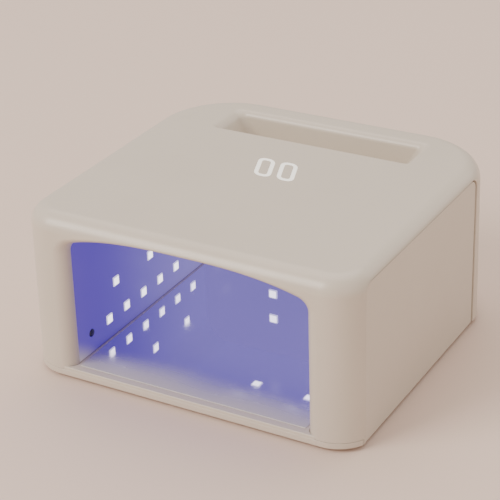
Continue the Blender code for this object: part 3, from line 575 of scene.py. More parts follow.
SHELL = Moulded("shell_gloss", (0.655, 0.580, 0.492), 0.34, drift=(0.615, 0.540, 0.455),
                drift_amount=0.4, grain=0.10, coat=0.15)
CHEEK = Moulded("cheek_satin", (0.670, 0.598, 0.515), 0.42, drift=(0.635, 0.560, 0.478),
                drift_amount=0.4, grain=0.16)
# painted light: the liner is no lamp, and its emission paints the beads' violet light on its walls
LINER = LitLiner("liner_lit", (0.15, 0.12, 0.22), 0.24)
# painted light: the mirror pales towards the sill, where light falls in through the mouth
MIRROR = MirrorFloor("mirror_polished", (0.80, 0.78, 0.92), 0.03)
CHIP_LENS = Glowing("bead_lens_lit", (0.9, 0.88, 0.86), 0.25, light=(1.0, 0.96, 0.97), strength=2.6)
CHIP_FRAME = Glowing("bead_frame_lit", (0.80, 0.78, 0.86), 0.35, light=(0.80, 0.76, 1.0), strength=0.9)
DIGIT = Glowing("digit_lit", (0.95, 0.92, 0.86), 0.30, light=(1.0, 0.97, 0.91), strength=0.75,
                unevenness=0.25)
DARK = Moulded("dark_moulded", (0.022, 0.022, 0.026), 0.38, drift=(0.030, 0.030, 0.034), grain=0.2)
SMOKED = Moulded("smoked_dome", (0.012, 0.010, 0.030), 0.12, drift=(0.020, 0.016, 0.045), grain=0.02,
                 coat=0.6)
RUBBER = Moulded("foot_soft_rubber", (0.045, 0.045, 0.047), 0.78, drift=(0.070, 0.068, 0.066),
                 grain=0.35, grain_scale=1800.0)
FRAME_PLASTIC = Moulded("frame_moulded", (0.470, 0.450, 0.410), 0.50, drift=(0.420, 0.400, 0.360),
                        grain=0.22)
BOARD = Board("board_lacquer", (0.020, 0.130, 0.060), 0.36)
STEEL = Brushed("screw_zinc", (0.56, 0.57, 0.60), 0.28, 1.0)
NICKEL = Brushed("magnet_plated", (0.72, 0.71, 0.70), 0.18, 1.0, spread=0.08)
CELL = CellSleeve("cell_sleeve", (0.045, 0.150, 0.380), 0.34)
MARK = Moulded("mark_ink", (0.86, 0.85, 0.82), 0.45, drift=(0.80, 0.79, 0.76), grain=0.1)


# Solids from arrays


@dataclass
class Solid:
    """A closed body as arrays: its points, and polygons of one or more sizes."""

    points: np.ndarray
    faces: list[np.ndarray] = field(default_factory=list)

    def __add__(self, other: "Solid") -> "Solid":
        """Returns both bodies as one set of points and faces."""
        shift = len(self.points)
        return Solid(np.concatenate([self.points, other.points]),
                     self.faces + [face + shift for face in other.faces])

    def volume(self) -> float:
        """Returns the signed volume: each polygon as a fan of tetrahedra from the origin."""
        total = 0.0
        for face in self.faces:
            points = self.points[face]
            crossed = np.cross(points[:, 1:-1], points[:, 2:])
            total += float(np.einsum("ijk,ijk->", np.broadcast_to(points[:, :1], crossed.shape), crossed))
        return total

    def outward(self) -> "Solid":
        """Returns the body with its faces pointing outwards."""
        if self.volume() >= 0:
            return self
        return Solid(self.points, [face[:, ::-1] for face in self.faces])

    def mesh(self, name: str) -> bpy.types.Mesh:
        """Returns a new mesh of the body."""
        mesh = bpy.data.meshes.new(name)
        totals = np.concatenate([np.full(len(face), face.shape[1]) for face in self.faces])
        corners = np.concatenate([face.ravel() for face in self.faces])
        mesh.vertices.add(len(self.points))
        mesh.vertices.foreach_set("co", self.points.astype(np.float32).ravel())
        mesh.loops.add(len(corners))
        mesh.loops.foreach_set("vertex_index", corners.astype(np.int32))
        mesh.polygons.add(len(totals))
        mesh.polygons.foreach_set("loop_start", (np.cumsum(totals) - totals).astype(np.int32))
        mesh.polygons.foreach_set("loop_total", totals.astype(np.int32))
        mesh.update(calc_edges=True)
        mesh.validate()
        return mesh


def tube(rings: Sequence[np.ndarray], closed: bool = False) -> Solid:
    """A body through rings of points, with flat ends or closed on itself.

    Point (i, j) lies on ring i, and each quad joins neighbours on two rings. Each end ring is one
    polygon, or where the body is closed the last ring is joined to the first.

    Args:
        rings: the rings, each an array of as many points.
        closed: whether it runs back into its first ring.

    Returns:
        The body, facing outwards.
    """
    points = np.stack(rings)
    rows, columns, _ = points.shape
    grid = np.arange(rows * columns).reshape(rows, columns)
    ends = [] if closed else [grid[:1, ::-1], grid[-1:]]
    if closed:
        grid = np.concatenate([grid, grid[:1]])
    near = np.roll(grid, -1, axis=1)
    side = np.stack([grid[:-1], near[:-1], near[1:], grid[1:]], axis=-1).reshape(-1, 4)
    return Solid(points.reshape(-1, 3), [side, *ends]).outward()


def joined(solids: Iterable[Solid]) -> Solid:
    """Returns several bodies as one, each facing outwards."""
    whole, *others = [solid.outward() for solid in solids]
    for solid in others:
        whole = whole + solid
    return whole


def block(low: Sequence[float], high: Sequence[float]) -> Solid:
    """A box between two corners."""
    x0, y0, z0 = np.minimum(low, high)
    x1, y1, z1 = np.maximum(low, high)
    outline = np.array([(x0, y0), (x1, y0), (x1, y1), (x0, y1)])
    return tube([lift(outline, "z", z0), lift(outline, "z", z1)])


def lift(outline: np.ndarray, axis: str, along: float) -> np.ndarray:
    """Places a flat outline across an axis.

    Args:
        outline: array of pairs, the two other coordinates in X, Y, Z order.
        axis: the axis that the outline lies across.
        along: the place on that axis.

    Returns:
        Array of points.
    """
    filled = np.full(len(outline), along)
    first, second = outline[:, 0], outline[:, 1]
    columns = {"x": (filled, first, second), "y": (first, filled, second), "z": (first, second, filled)}[axis]
    return np.stack(columns, axis=-1)


def rounded(low: Sequence[float], high: Sequence[float], radius: float, steps: int = 8) -> np.ndarray:
    """Outline of a rectangle with round corners.

    Each corner is a quarter circle about a centre one radius inside both sides.

    Args:
        low: lower corner of the rectangle.
        high: upper corner of the rectangle.
        radius: radius of the corners.
        steps: segments of each quarter.

    Returns:
        Array of pairs.
    """
    radius = max(radius, LEAST_CORNER)
    (a0, b0), (a1, b1) = low, high
    centres = np.array([(a1 - radius, b0 + radius), (a1 - radius, b1 - radius),
                        (a0 + radius, b1 - radius), (a0 + radius, b0 + radius)])
    starts = np.array([-QUARTER, 0, QUARTER, math.pi])
    angles = starts[:, None] + np.linspace(0, QUARTER, steps + 1)[None, :]
    circle = np.stack([np.cos(angles), np.sin(angles)], axis=-1)
    return (centres[:, None, :] + radius * circle).reshape(-1, 2)


def edge_levels(edge: float, along: float, sign: float, steps: int) -> list[Pair]:
    """Levels of a round edge, from the side of a piece to its face.

    At an angle a the inset is edge times one minus cos a, and the level lies edge times one minus
    sin a under the face.

    Args:
        edge: radius of the edge.
        along: place of the face.
        sign: direction of the face.
        steps: segments.

    Returns:
        Pairs of inset and distance.
    """
    return [(edge * (1 - math.cos(angle)), along - sign * edge * (1 - math.sin(angle)))
            for angle in np.linspace(0, QUARTER, steps + 1)]


def plate(outline: Callable[[float], np.ndarray], axis: str, back: float, face: float, edge: float,
          steps: int = 5) -> Solid:
    """A flat piece whose outer face has a round edge.

    Args:
        outline: gives the outline for an inset.
        axis: axis across the plate.
        back: place of its back.
        face: place of its face.
        edge: radius of the face's edge.
        steps: segments of the round edge.

    Returns:
        The body.
    """
    levels = [(0.0, back)] + edge_levels(edge, face, 1 if face > back else -1, steps)
    return tube([lift(outline(inset), axis, along) for inset, along in levels])


def turned(profile: Sequence[Pair], centre: Sequence[float], axis: str = "z",
           segments: int = 64) -> Solid:
    """A body of revolution: ring i has the profile's radius and lies at its distance along the axis.

    Args:
        profile: pairs of radius and distance.
        centre: point on the axis.
        axis: the axis.
        segments: points round it.

    Returns:
        The body.
    """
    angle = np.linspace(0, FULL, segments, endpoint=False)
    circle = np.stack([np.cos(angle), np.sin(angle)], axis=-1)
    rings = [lift(circle * max(radius, LEAST_RADIUS), axis, along) for radius, along in profile]
    return tube(np.stack(rings) + np.asarray(centre)[None, None, :])


def drill(radius: float, low: float, high: float, centre: Sequence[float], axis: str = "z",
          segments: int = 64) -> Solid:
    """Cutter of a round hole.

    Args:
        radius: the hole's radius.
        low: distance at which it begins.
        high: distance at which it ends.
        centre: point on its axis.
        axis: its axis.
        segments: points round it.

    Returns:
        The body.
    """
    return turned([(radius, low), (radius, high)], centre, axis, segments)


def quarter_round(radius: float, edge: float, along: float, sign: float = 1.0, steps: int = 6
                  ) -> list[Pair]:
    """Profile of a disc's round edge, from its side to its face.

    Args:
        radius: the disc's radius.
        edge: radius of the edge.
        along: place of the face.
        sign: direction of the face.
        steps: segments.

    Returns:
        Pairs of radius and distance.
    """
    return [(radius - inset, level) for inset, level in edge_levels(edge, along, sign, steps)]


def put(name: str, solid: Solid) -> bpy.types.Object:
    """Adds a body to the scene as an object at the origin."""
    piece = bpy.data.objects.new(name, solid.outward().mesh(name))
    bpy.context.scene.collection.objects.link(piece)
    return piece


def carve(piece: bpy.types.Object, how: Carve, *solids: Solid) -> None:
    """Cuts bodies out of a piece or joins them to it, and keeps the result as its mesh.

    Args:
        piece: the object that is changed.
        how: cut or join.
        solids: the tools.
    """
    tool = put("tool", joined(solids))
    modifier = piece.modifiers.new("carve", "BOOLEAN")
    modifier.operation = how.value
    modifier.solver = "EXACT"
    modifier.object = tool
    graph = bpy.context.evaluated_depsgraph_get()
    result = bpy.data.meshes.new_from_object(piece.evaluated_get(graph))
    piece.modifiers.clear()
    old = piece.data
    piece.data = result
    bpy.data.meshes.remove(old)
    bpy.data.objects.remove(tool)


def dress(piece: bpy.types.Object, finish: Finish, body: str, nodes: Iterable[str] = (),
          angle: float = 32.0) -> bpy.types.Object:
    """Gives a piece its finish, its shading, its body and the nodes that it stands for.

    Args:
        piece: the object.
        finish: its finish.
        body: the body that it rides on.
        nodes: solids that it replaces.
        angle: edges sharper than this many degrees stay crisp.

    Returns:
        The piece.
    """
    piece.data.materials.clear()
    piece.data.materials.append(finish.material())
    piece.data.shade_smooth()
    piece.data.set_sharp_from_angle(angle=math.radians(angle))
    shading = piece.modifiers.new("shading", "WEIGHTED_NORMAL")
    shading.keep_sharp = True
    shading.weight = 60
    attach(piece, body)
    names = list(nodes)
    if names:
        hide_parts(*names)
    LOG.info("%s: %d faces on %s", piece.name, len(piece.data.polygons), body)
    return piece


def repaint(node: str, finish: Finish) -> None:
    """Gives a solid that stays visible a better material."""
    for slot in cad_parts[node].material_slots:
        slot.material = finish.material()
    LOG.info("%s: repainted as %s", node, finish.name)


# The body's shared form


@dataclass
class BodyForm:
    """Sizes and outlines that the shell, the cheeks and the tray share."""

    width: float = 0.2250
    cheek_inset: float = 0.0016
    depth: float = 0.2130
    top: float = 0.1094
    skirt: float = 0.0028
    lip: float = 0.0064
    lip_depth: float = 0.0120
    front_corner: float = 0.0230
    rear_corner: float = 0.0520
    fillet: float = 0.0110
    flare: float = 0.0010
    wall: float = 0.0025
    gap: float = 0.0003
    crease: float = 0.00025
    overrun: float = 0.0040
    corner_steps: int = 30
    rear_steps: int = 48

    @property
    def half(self) -> float:
        """Half of the width over both sides."""
        return self.width / 2

    @property
    def cheek_width(self) -> float:
        """Width over the flat faces that the cheeks lie in."""
        return self.width - 2 * self.cheek_inset

    @property
    def front(self) -> float:
        """Plane of the front at the top."""
        return -self.depth / 2

    @property
    def rear(self) -> float:
        """Plane of the back at the top."""
        return self.depth / 2

    def front_face(self, height: np.ndarray) -> np.ndarray:
        """Depth of the front face at some heights.

        The flare brings it forwards in a straight line towards the table; over the fillet it goes
        back by the radius minus the root of the radius squared less the rise squared.

        Args:
            height: heights over the table.

        Returns:
            The depths.
        """
        rise = np.clip(height - (self.top - self.fillet), 0, self.fillet)
        flare = self.flare * (self.top - np.maximum(height, 0)) / self.top
        return self.front - flare + self.fillet - np.sqrt(self.fillet ** 2 - rise ** 2)

    def clamp(self, x: np.ndarray, limit: float, soft: float) -> np.ndarray:
        """Holds X inside a limit with a rounded crease.

        The distance left to the limit goes through soft times log(1 + exp(distance / soft)), which
        leaves it as it is far from the limit and turns it smoothly to zero beyond it.

        Args:
            x: the coordinates.
            limit: the largest absolute value.
            soft: width of the crease.

        Returns:
            The held coordinates.
        """
        left = (limit - np.abs(x)) / soft
        return np.sign(x) * (limit - soft * np.logaddexp(0, left))

    def plan(self, inset: float, height: float, limit: float | None = None, soft: float | None = None
             ) -> np.ndarray:
        """The body's outline at a height, moved inwards by an inset.

        Two quarter circles at the front and two larger ones at the back join straight sides; the
        whole flares outwards towards the table, and the sides are held flat at the cheeks.

        Args:
            inset: distance inwards.
            height: height over the table.
            limit: largest absolute X.
            soft: width of the crease.

        Returns:
            Array of points.
        """
        inset = inset - self.flare * (self.top - height) / self.top
        half, deep = self.width / 2 - inset, self.depth / 2 - inset
        front, rear = self.front_corner - inset, self.rear_corner - inset
        parts = []
        for x, y, radius, start, steps in (
            (half - front, -deep + front, front, -QUARTER, self.corner_steps),
            (half - rear, deep - rear, rear, 0, self.rear_steps),
            (-half + rear, deep - rear, rear, QUARTER, self.rear_steps),
            (-half + front, -deep + front, front, math.pi, self.corner_steps),
        ):
            angle = start + np.linspace(0, QUARTER, steps + 1)
            parts.append(np.stack([x + radius * np.cos(angle), y + radius * np.sin(angle)], axis=-1))
        outline = np.concatenate(parts)
        outline[:, 0] = self.clamp(outline[:, 0], limit or self.cheek_width / 2, soft or self.crease)
        return lift(outline, "z", height)

    def rounded_levels(self, inset: float, bottom: float, top: float, fillet: float, foot: float,
                       steps: int = 18) -> list[Pair]:
        """Pairs of inset and height from a small round foot, up the wall, and over the fillet."""
        levels = [(inset, bottom)]
        if foot:
            levels = [(inset + drawn, height) for drawn, height in reversed(edge_levels(foot, bottom, -1, 4))]
        levels += [(inset + fillet * (1 - math.cos(angle)), top - fillet + fillet * math.sin(angle))
                   for angle in np.linspace(0, QUARTER, steps + 1)]
        return levels


FORM = BodyForm()


def corners(side: float, front: float, rear_side: float, rear: float) -> tuple[Pair, ...]:
    """Four places in the lamp's plan, in the order of PLACES.

    Args:
        side: distance of the front pair from the sides.
        front: distance of the front pair from the front.
        rear_side: distance of the rear pair from the sides.
        rear: distance of the rear pair from the back.

    Returns:
        Pairs of X and Y.
    """
    return tuple((side_sign * (FORM.half - aside), y) for aside, y in (
        (side, FORM.front + front), (rear_side, FORM.rear - rear)) for side_sign in (-1, 1))


def arch(half_low: float, half_high: float, low: float, top: float, drop: float, corner: float,
         power: float = 3.0, steps: int = 16, crown_steps: int = 48) -> np.ndarray:
    """Arched outline in X and Z.

    The crown falls from its top by drop times the distance over the half width to a power. Each
    shoulder is a circle that ends upright at the wall and takes the crown's slope where they meet,
    and straight sides run down from there.

    Args:
        half_low: half width at the bottom.
        half_high: half width at the shoulders.
        low: height of the bottom.
        top: height of the crown's middle.
        drop: fall of the crown at the sides.
        corner: radius of the shoulders.
        power: power of the crown's fall.
        steps: segments of a shoulder.
        crown_steps: segments of the crown.

    Returns:
        Array of pairs.
    """
    edge = half_high - corner
    for _ in range(SLOPE_ROUNDS):
        slope = math.atan(power * drop / half_high * (edge / half_high) ** (power - 1))
        edge = half_high - corner * (1 - math.sin(slope))
    height = top - drop * (edge / half_high) ** power - corner * math.cos(slope)
    angle = np.linspace(0, QUARTER - slope, steps)
    shoulder = np.stack([half_high - corner + corner * np.cos(angle), height + corner * np.sin(angle)],
                        axis=-1)
    right = np.concatenate([[(half_low, low)], shoulder])
    x = np.linspace(edge, -edge, crown_steps + 1)[1:-1]
    crown = np.stack([x, top - drop * np.abs(x / half_high) ** power], axis=-1)
    left = right[::-1] * np.array([-1, 1])
    return np.concatenate([right, crown, left])


# Upper shell


@dataclass
class Mouth:
    """The arched mouth with the rolled lip round it."""

    side: float = 0.0323
    crown: float = 0.0091
    drop: float = 0.0091
    corner: float = 0.0080
    depth: float = 0.0076
    roll_side: float = 0.0086
    roll_top: float = 0.0032
    rim_wall: float = 0.0020
    draft: float = 0.0004
    bite: float = 0.00003
    steps: int = 22

    @property
    def half(self) -> float:
        """Half width of the tunnel behind the lip."""
        return FORM.half - self.side

    @property
    def top(self) -> float:
        """Height of the tunnel's crown."""
        return FORM.top - self.crown

    def outline(self, share: float, low: float, grow: float = 0.0) -> np.ndarray:
        """Outline of the opening in X and Z.

        Args:
            share: zero at the tunnel, one where the roll meets the front face.
            low: height of its bottom.
            grow: distance outwards.

        Returns:
            Array of pairs.
        """
        half = self.half + self.roll_side * share + grow
        corner = self.corner + (self.roll_side + self.roll_top) / 2 * share + grow
        return arch(half, half - self.draft, low, self.top + self.roll_top * share + grow, self.drop, corner)

    def cutter(self) -> Solid:
        """The opening as a body.

        At an angle a the outline's share is one minus sin a, and it lies depth times one minus cos a
        behind the front face, so that a rounded lip rolls from the face into the tunnel.
        """
        low = FORM.skirt - FORM.overrun
        rings = [lift(self.outline(1, low), "y", FORM.front - FORM.overrun)]
        for angle in np.linspace(0, QUARTER, self.steps):
            ring = lift(self.outline(1 - math.sin(angle), low), "y", 0.0)
            ring[:, 1] = FORM.front_face(ring[:, 2]) - self.bite + self.depth * (1 - math.cos(angle))
            rings.append(ring)
        rings.append(lift(self.outline(0, low), "y", FORM.front + self.depth + FORM.overrun))
        return tube(rings)

    def sleeve(self) -> Solid:
        """The short tunnel behind the opening, before it is cut."""
        share = 1 - math.sin(math.acos(1 - FORM.wall / self.depth))
        outline = self.outline(share, FORM.lip + FORM.gap, self.rim_wall)
        ends = (FORM.front + FORM.wall / 2, FORM.front + self.depth)
        return tube([lift(outline, "y", y) for y in ends])


@dataclass
class Recess:
    """The finger recess in front of the grip bar."""

    side: float = 0.0445
    scoop: float = 0.0140
    grip: float = 0.0235
    length: float = 0.0305
    depth: float = 0.0240
    corner: float = 0.0050
    slant: float = 0.0040
    end_flare: float = 0.0042
    front_flare: float = 0.0009
    rear_flare: float = 0.0045
    floor_round: float = 0.0035
    flare_steps: int = 14
    wall_steps: int = 8
    round_steps: int = 10

    @property
    def half(self) -> float:
        """Half length at the top."""
        return FORM.half - self.side

    @property
    def rear(self) -> float:
        """Depth of its wall at the grip bar."""
        return FORM.rear - self.grip

    @property
    def front(self) -> float:
        """Depth of its front wall."""
        return self.rear - self.length

    def rings(self, grow: float, top: float) -> Solid:
        """The recess as a body.

        At a share t of the depth the ends lie at half minus scoop times t, and the front at front
        plus slant t squared. Near the top each side opens by a quarter circle of its own flare,
        and near the floor each side closes by a quarter circle of the floor's round.

        Args:
            grow: distance outwards, for the tub round it.
            top: height at which the body ends.

        Returns:
            The body.
        """
        low = self.depth - self.floor_round
        depths = np.concatenate([
            self.end_flare * (1 - np.cos(np.linspace(0, QUARTER, self.flare_steps))),
            np.linspace(self.end_flare, low, self.wall_steps)[1:],
            low + self.floor_round * np.sin(np.linspace(0, QUARTER, self.round_steps)[1:]),
        ])
        levels = []
        for depth in depths:
            share = depth / self.depth
            below = max(depth - low, 0)
            close = self.floor_round - math.sqrt(max(self.floor_round ** 2 - below ** 2, 0))
            flares = (self.end_flare, self.front_flare, self.rear_flare)
            ends, fore, aft = (self.opening(depth, flare) for flare in flares)
            half = self.half - self.scoop * share + ends - close + grow
            front = self.front + self.slant * share ** 2 - fore + close - grow
            rear = self.rear + aft - close + grow
            outline = rounded((-half, front), (half, rear), self.corner + grow - close / 2,
                              self.round_steps)
            levels.append(lift(outline, "z", FORM.top - depth))
        rings = np.stack(levels)
        if grow:
            rings[-1, :, 2] -= grow
            rings = rings[rings[:, 0, 2] < top]
        cap = rings[:1].copy()
        cap[:, :, 2] = top
        return tube(np.concatenate([cap, rings]))

    @staticmethod
    def opening(depth: float, radius: float) -> float:
        """How far a quarter circle of a radius still opens at a depth under the top."""
        if depth >= radius:
            return 0.0
        return radius - math.sqrt(radius ** 2 - (radius - depth) ** 2)


@dataclass
class Cheek:
    """A flat panel let into a side of the shell."""

    thickness: float = 0.0020
    recess: float = 0.0006
    front_overlap: float = 0.0090
    rear_overlap: float = 0.0095
    drop: float = 0.0054
    corner: float = 0.0070
    groove: float = 0.0009
    edge: float = 0.0006
    steps: int = 14

    @property
    def front(self) -> float:
        """Depth of the pocket's front edge."""
        return FORM.front + FORM.front_corner - self.front_overlap

    @property
    def rear(self) -> float:
        """Depth of the pocket's rear edge."""
        return FORM.rear - FORM.rear_corner + self.rear_overlap

    @property
    def top(self) -> float:
        """Height of the pocket's upper edge."""
        return FORM.top - self.drop

    @property
    def seat(self) -> float:
        """Distance of the pocket's floor from the middle plane."""
        return FORM.cheek_width / 2 - self.recess - self.thickness - FORM.gap

    def outline(self, margin: float) -> np.ndarray:
        """Outline in Y and Z, moved inwards by a margin; its foot runs past the skirt."""
        return rounded((self.front + margin, FORM.skirt - self.corner),
                       (self.rear - margin, self.top - margin), self.corner - margin, self.steps)

    def pocket(self, side: Side) -> Solid:
        """The pocket's cutter, with a small round lead-in at the face of the shell."""
        face, lead = FORM.cheek_width / 2, self.edge / 2
        levels = [(self.seat, 0.0), (face - lead, 0.0)]
        levels += [(face - lead * math.cos(angle), -lead * math.sin(angle))
                   for angle in np.linspace(0, QUARTER, 5)[1:]]
        levels.append((face + FORM.overrun, -lead))
        rings = [lift(self.outline(margin), "x", side.value * x) for x, margin in levels]
        return tube(rings)

    def build(self, side: Side) -> bpy.types.Object:
        """Builds and dresses the panel of one side."""
        name = "left_cheek" if side is Side.LEFT else "right_cheek"
        start = self.seat + FORM.gap
        panel = put(f"{name}_panel", plate(
            lambda inset: self.outline(self.groove + inset), "x", side.value * start,
            side.value * (start + self.thickness), self.edge))
        reach = FORM.depth
        carve(panel, Carve.CUT, block((-reach, -reach, -reach), (reach, reach, FORM.skirt)))
        carve(panel, Carve.CUT, block((-reach, -reach, -reach),
                                      (reach, FORM.front + FORM.lip_depth, FORM.lip + FORM.gap)))
        return dress(panel, CHEEK, "lamp", [name])


@dataclass
class Digits:
    """The two lit noughts of the timer in the top."""

    width: float = 0.0118
    height: float = 0.0245
    stroke: float = 0.0028
    pitch: float = 0.0158
    before_recess: float = 0.0425
    corner: float = 0.0050
    depth: float = 0.0011
    slant: float = -0.36
    sunk: float = 0.00003
    groove: float = 0.00004
    steps: int = 12
    recess: Recess = field(default_factory=Recess)

    @property
    def centre_y(self) -> float:
        """Depth of the noughts' centres."""
        return self.recess.front - self.before_recess

    def outline(self, x: float, inset: float) -> np.ndarray:
        """Outline of one slanted nought, moved inwards by an inset."""
        half, tall = self.width / 2 - inset, self.height / 2 - inset
        outline = rounded((x - half, self.centre_y - tall), (x + half, self.centre_y + tall),
                          self.corner - inset, self.steps)
        outline[:, 0] += self.slant * (outline[:, 1] - self.centre_y)
        return outline

    def ring(self, x: float, low: float, high: float, grow: float) -> Solid:
        """A nought as a closed ring of square section.

        Four outlines go round it: outer low, outer high, inner high and inner low.

        Args:
            x: its centre.
            low: height of its underside.
            high: height of its face.
            grow: distance by which both its sides move out.

        Returns:
            The body.
        """
        outer, inner = self.outline(x, -grow), self.outline(x, self.stroke + grow)
        return tube([lift(outer, "z", low), lift(outer, "z", high), lift(inner, "z", high),
                     lift(inner, "z", low)], closed=True)

    def places(self) -> dict[str, float]:
        """Centres of the two noughts by the name of their solids."""
        return {"digit_tens": -self.pitch / 2, "digit_units": self.pitch / 2}

    def grooves(self) -> list[Solid]:
        """Cutters of the grooves that the noughts lie in."""
        return [self.ring(x, FORM.top - self.depth, FORM.top + FORM.overrun, self.groove)
                for x in self.places().values()]

    def build(self) -> None:
        """Builds and dresses both noughts."""
        for name, x in self.places().items():
            low, high = FORM.top - self.depth + FORM.gap, FORM.top - self.sunk
            dress(put(f"{name}_guide", self.ring(x, low, high, 0.0)), DIGIT, "lamp", [name])


@dataclass
class RearPanel:
    """The panel at the back with its vents, inlet hole and switch hole."""

    side: float = 0.0045
    bottom: float = 0.0260
    drop: float = 0.0294
    corner: float = 0.0060
    thickness: float = 0.0022
    ledge: float = 0.0030
    vent_count: int = 11
    vent_width: float = 0.0024
    vent_pitch: float = 0.0058
    vent_above_row: float = 0.0120
    vent_margin: float = 0.0060
    vent_lead: tuple[Pair, ...] = ((-0.0004, 0.0), (-0.0001, 0.00012), (0.0, 0.0004))
    vent_mouth: float = 0.0005
    vent_straight: float = 0.00005
    row: float = 0.0440
    inlet_side: float = 0.0240
    inlet_radius: float = 0.0042
    switch_side: float = 0.0260
    switch_length: float = 0.0190
    switch_height: float = 0.0126
    edge: float = 0.0005

    @property
    def half(self) -> float:
        """Half of its width."""
        return FORM.half - FORM.rear_corner - self.side

    @property
    def top(self) -> float:
        """Height of its upper edge."""
        return FORM.top - self.drop

    @property
    def inlet_x(self) -> float:
        """Place of the inlet."""
        return self.half - self.inlet_side

    @property
    def switch_x(self) -> float:
        """Place of the switch."""
        return self.switch_side - self.half

    def outline(self, inset: float) -> np.ndarray:
        """Outline in X and Z, moved inwards by an inset."""
        return rounded((-self.half + inset, self.bottom + inset), (self.half - inset, self.top - inset),
                       self.corner - inset, 10)

    def seat(self) -> list[Solid]:
        """Cutters of the shell's seat and window for the panel."""
        rear = FORM.rear
        window = [lift(self.outline(self.ledge), "y", y) for y in (rear - FORM.wall - FORM.overrun,
                                                                  rear + FORM.overrun)]
        ledge = [lift(self.outline(0.0), "y", y) for y in (rear - self.thickness / 2, rear + FORM.overrun)]
        return [tube(window), tube(ledge)]

    def vents(self) -> list[Solid]:
        """Cutters of the upright slots, which widen a little at the outer face."""
        tools = []
        start = -self.vent_pitch * (self.vent_count - 1) / 2
        levels = ((-FORM.overrun, 0.0), *self.vent_lead, (FORM.overrun, self.vent_mouth))
        for step in range(self.vent_count):
            x = start + self.vent_pitch * step
            rings = []
            for y, grow in levels:
                half = self.vent_width / 2 + grow
                low, high = self.row + self.vent_above_row - grow, self.top - self.vent_margin + grow
                outline = rounded((x - half, low), (x + half, high), half - self.vent_straight, 6)
                rings.append(lift(outline, "y", FORM.rear + y))
            tools.append(tube(rings))
        return tools

    def build(self) -> None:
        """Builds and dresses the panel."""
        face = FORM.rear
        panel = put("rear_panel_cover", plate(lambda inset: self.outline(FORM.gap + inset), "y",
                                              face - self.thickness / 2 + FORM.gap, face, self.edge))
        for solid in self.vents():
            carve(panel, Carve.CUT, solid)
        carve(panel, Carve.CUT, drill(self.inlet_radius + FORM.gap, -FORM.overrun, FORM.overrun,
                                      (self.inlet_x, face, self.row), "y"))
        half, tall = self.switch_length / 2 + FORM.gap, self.switch_height / 2 + FORM.gap
        carve(panel, Carve.CUT, block((self.switch_x - half, face - FORM.overrun, self.row - tall),
                                      (self.switch_x + half, face + FORM.overrun, self.row + tall)))
        dress(panel, CHEEK, "lamp", ["rear_panel"])


@dataclass
class UpperShell:
    """The moulded shell of the body."""

    mouth: Mouth = field(default_factory=Mouth)
    recess: Recess = field(default_factory=Recess)
    cheek: Cheek = field(default_factory=Cheek)
    digits: Digits = field(default_factory=Digits)
    panel: RearPanel = field(default_factory=RearPanel)
    foot_round: float = 0.0006

    def skin(self) -> Solid:
        """The outer form: round foot, wall, fillet and flat top."""
        levels = FORM.rounded_levels(0.0, FORM.skirt, FORM.top, FORM.fillet, self.foot_round)
        return tube([FORM.plan(inset, height) for inset, height in levels])

    def hollow(self) -> Solid:
        """The inner form, one wall inside the outer one."""
        levels = FORM.rounded_levels(FORM.wall, FORM.skirt - FORM.overrun, FORM.top - FORM.wall,
                                     FORM.fillet - FORM.wall, 0.0, 8)
        limit = self.cheek.seat - FORM.wall
        return tube([FORM.plan(inset, height, limit) for inset, height in levels])

    def build(self) -> None:
        """Builds the shell from its forms and dresses it."""
        shell = put("upper_shell", self.skin())
        carve(shell, Carve.CUT, self.hollow())
        carve(shell, Carve.JOIN, self.mouth.sleeve())
        carve(shell, Carve.JOIN, self.recess.rings(FORM.wall, FORM.top - FORM.wall / 2))
        carve(shell, Carve.CUT, self.mouth.cutter())
        carve(shell, Carve.CUT, self.recess.rings(0.0, FORM.top + FORM.overrun))
        reach = FORM.width
        carve(shell, Carve.CUT, block((-reach, FORM.front - 2 * FORM.overrun, -FORM.overrun),
                                      (reach, FORM.front + FORM.lip_depth, FORM.lip + FORM.gap)))
        carve(shell, Carve.CUT, *[self.cheek.pocket(side) for side in Side])
        for tool in self.panel.seat():
            carve(shell, Carve.CUT, tool)
        for tool in self.digits.grooves():
            carve(shell, Carve.CUT, tool)
        dress(shell, SHELL, "lamp", ["upper_housing"])
        for side in Side:
            self.cheek.build(side)
        self.digits.build()
        self.panel.build()


# Chamber


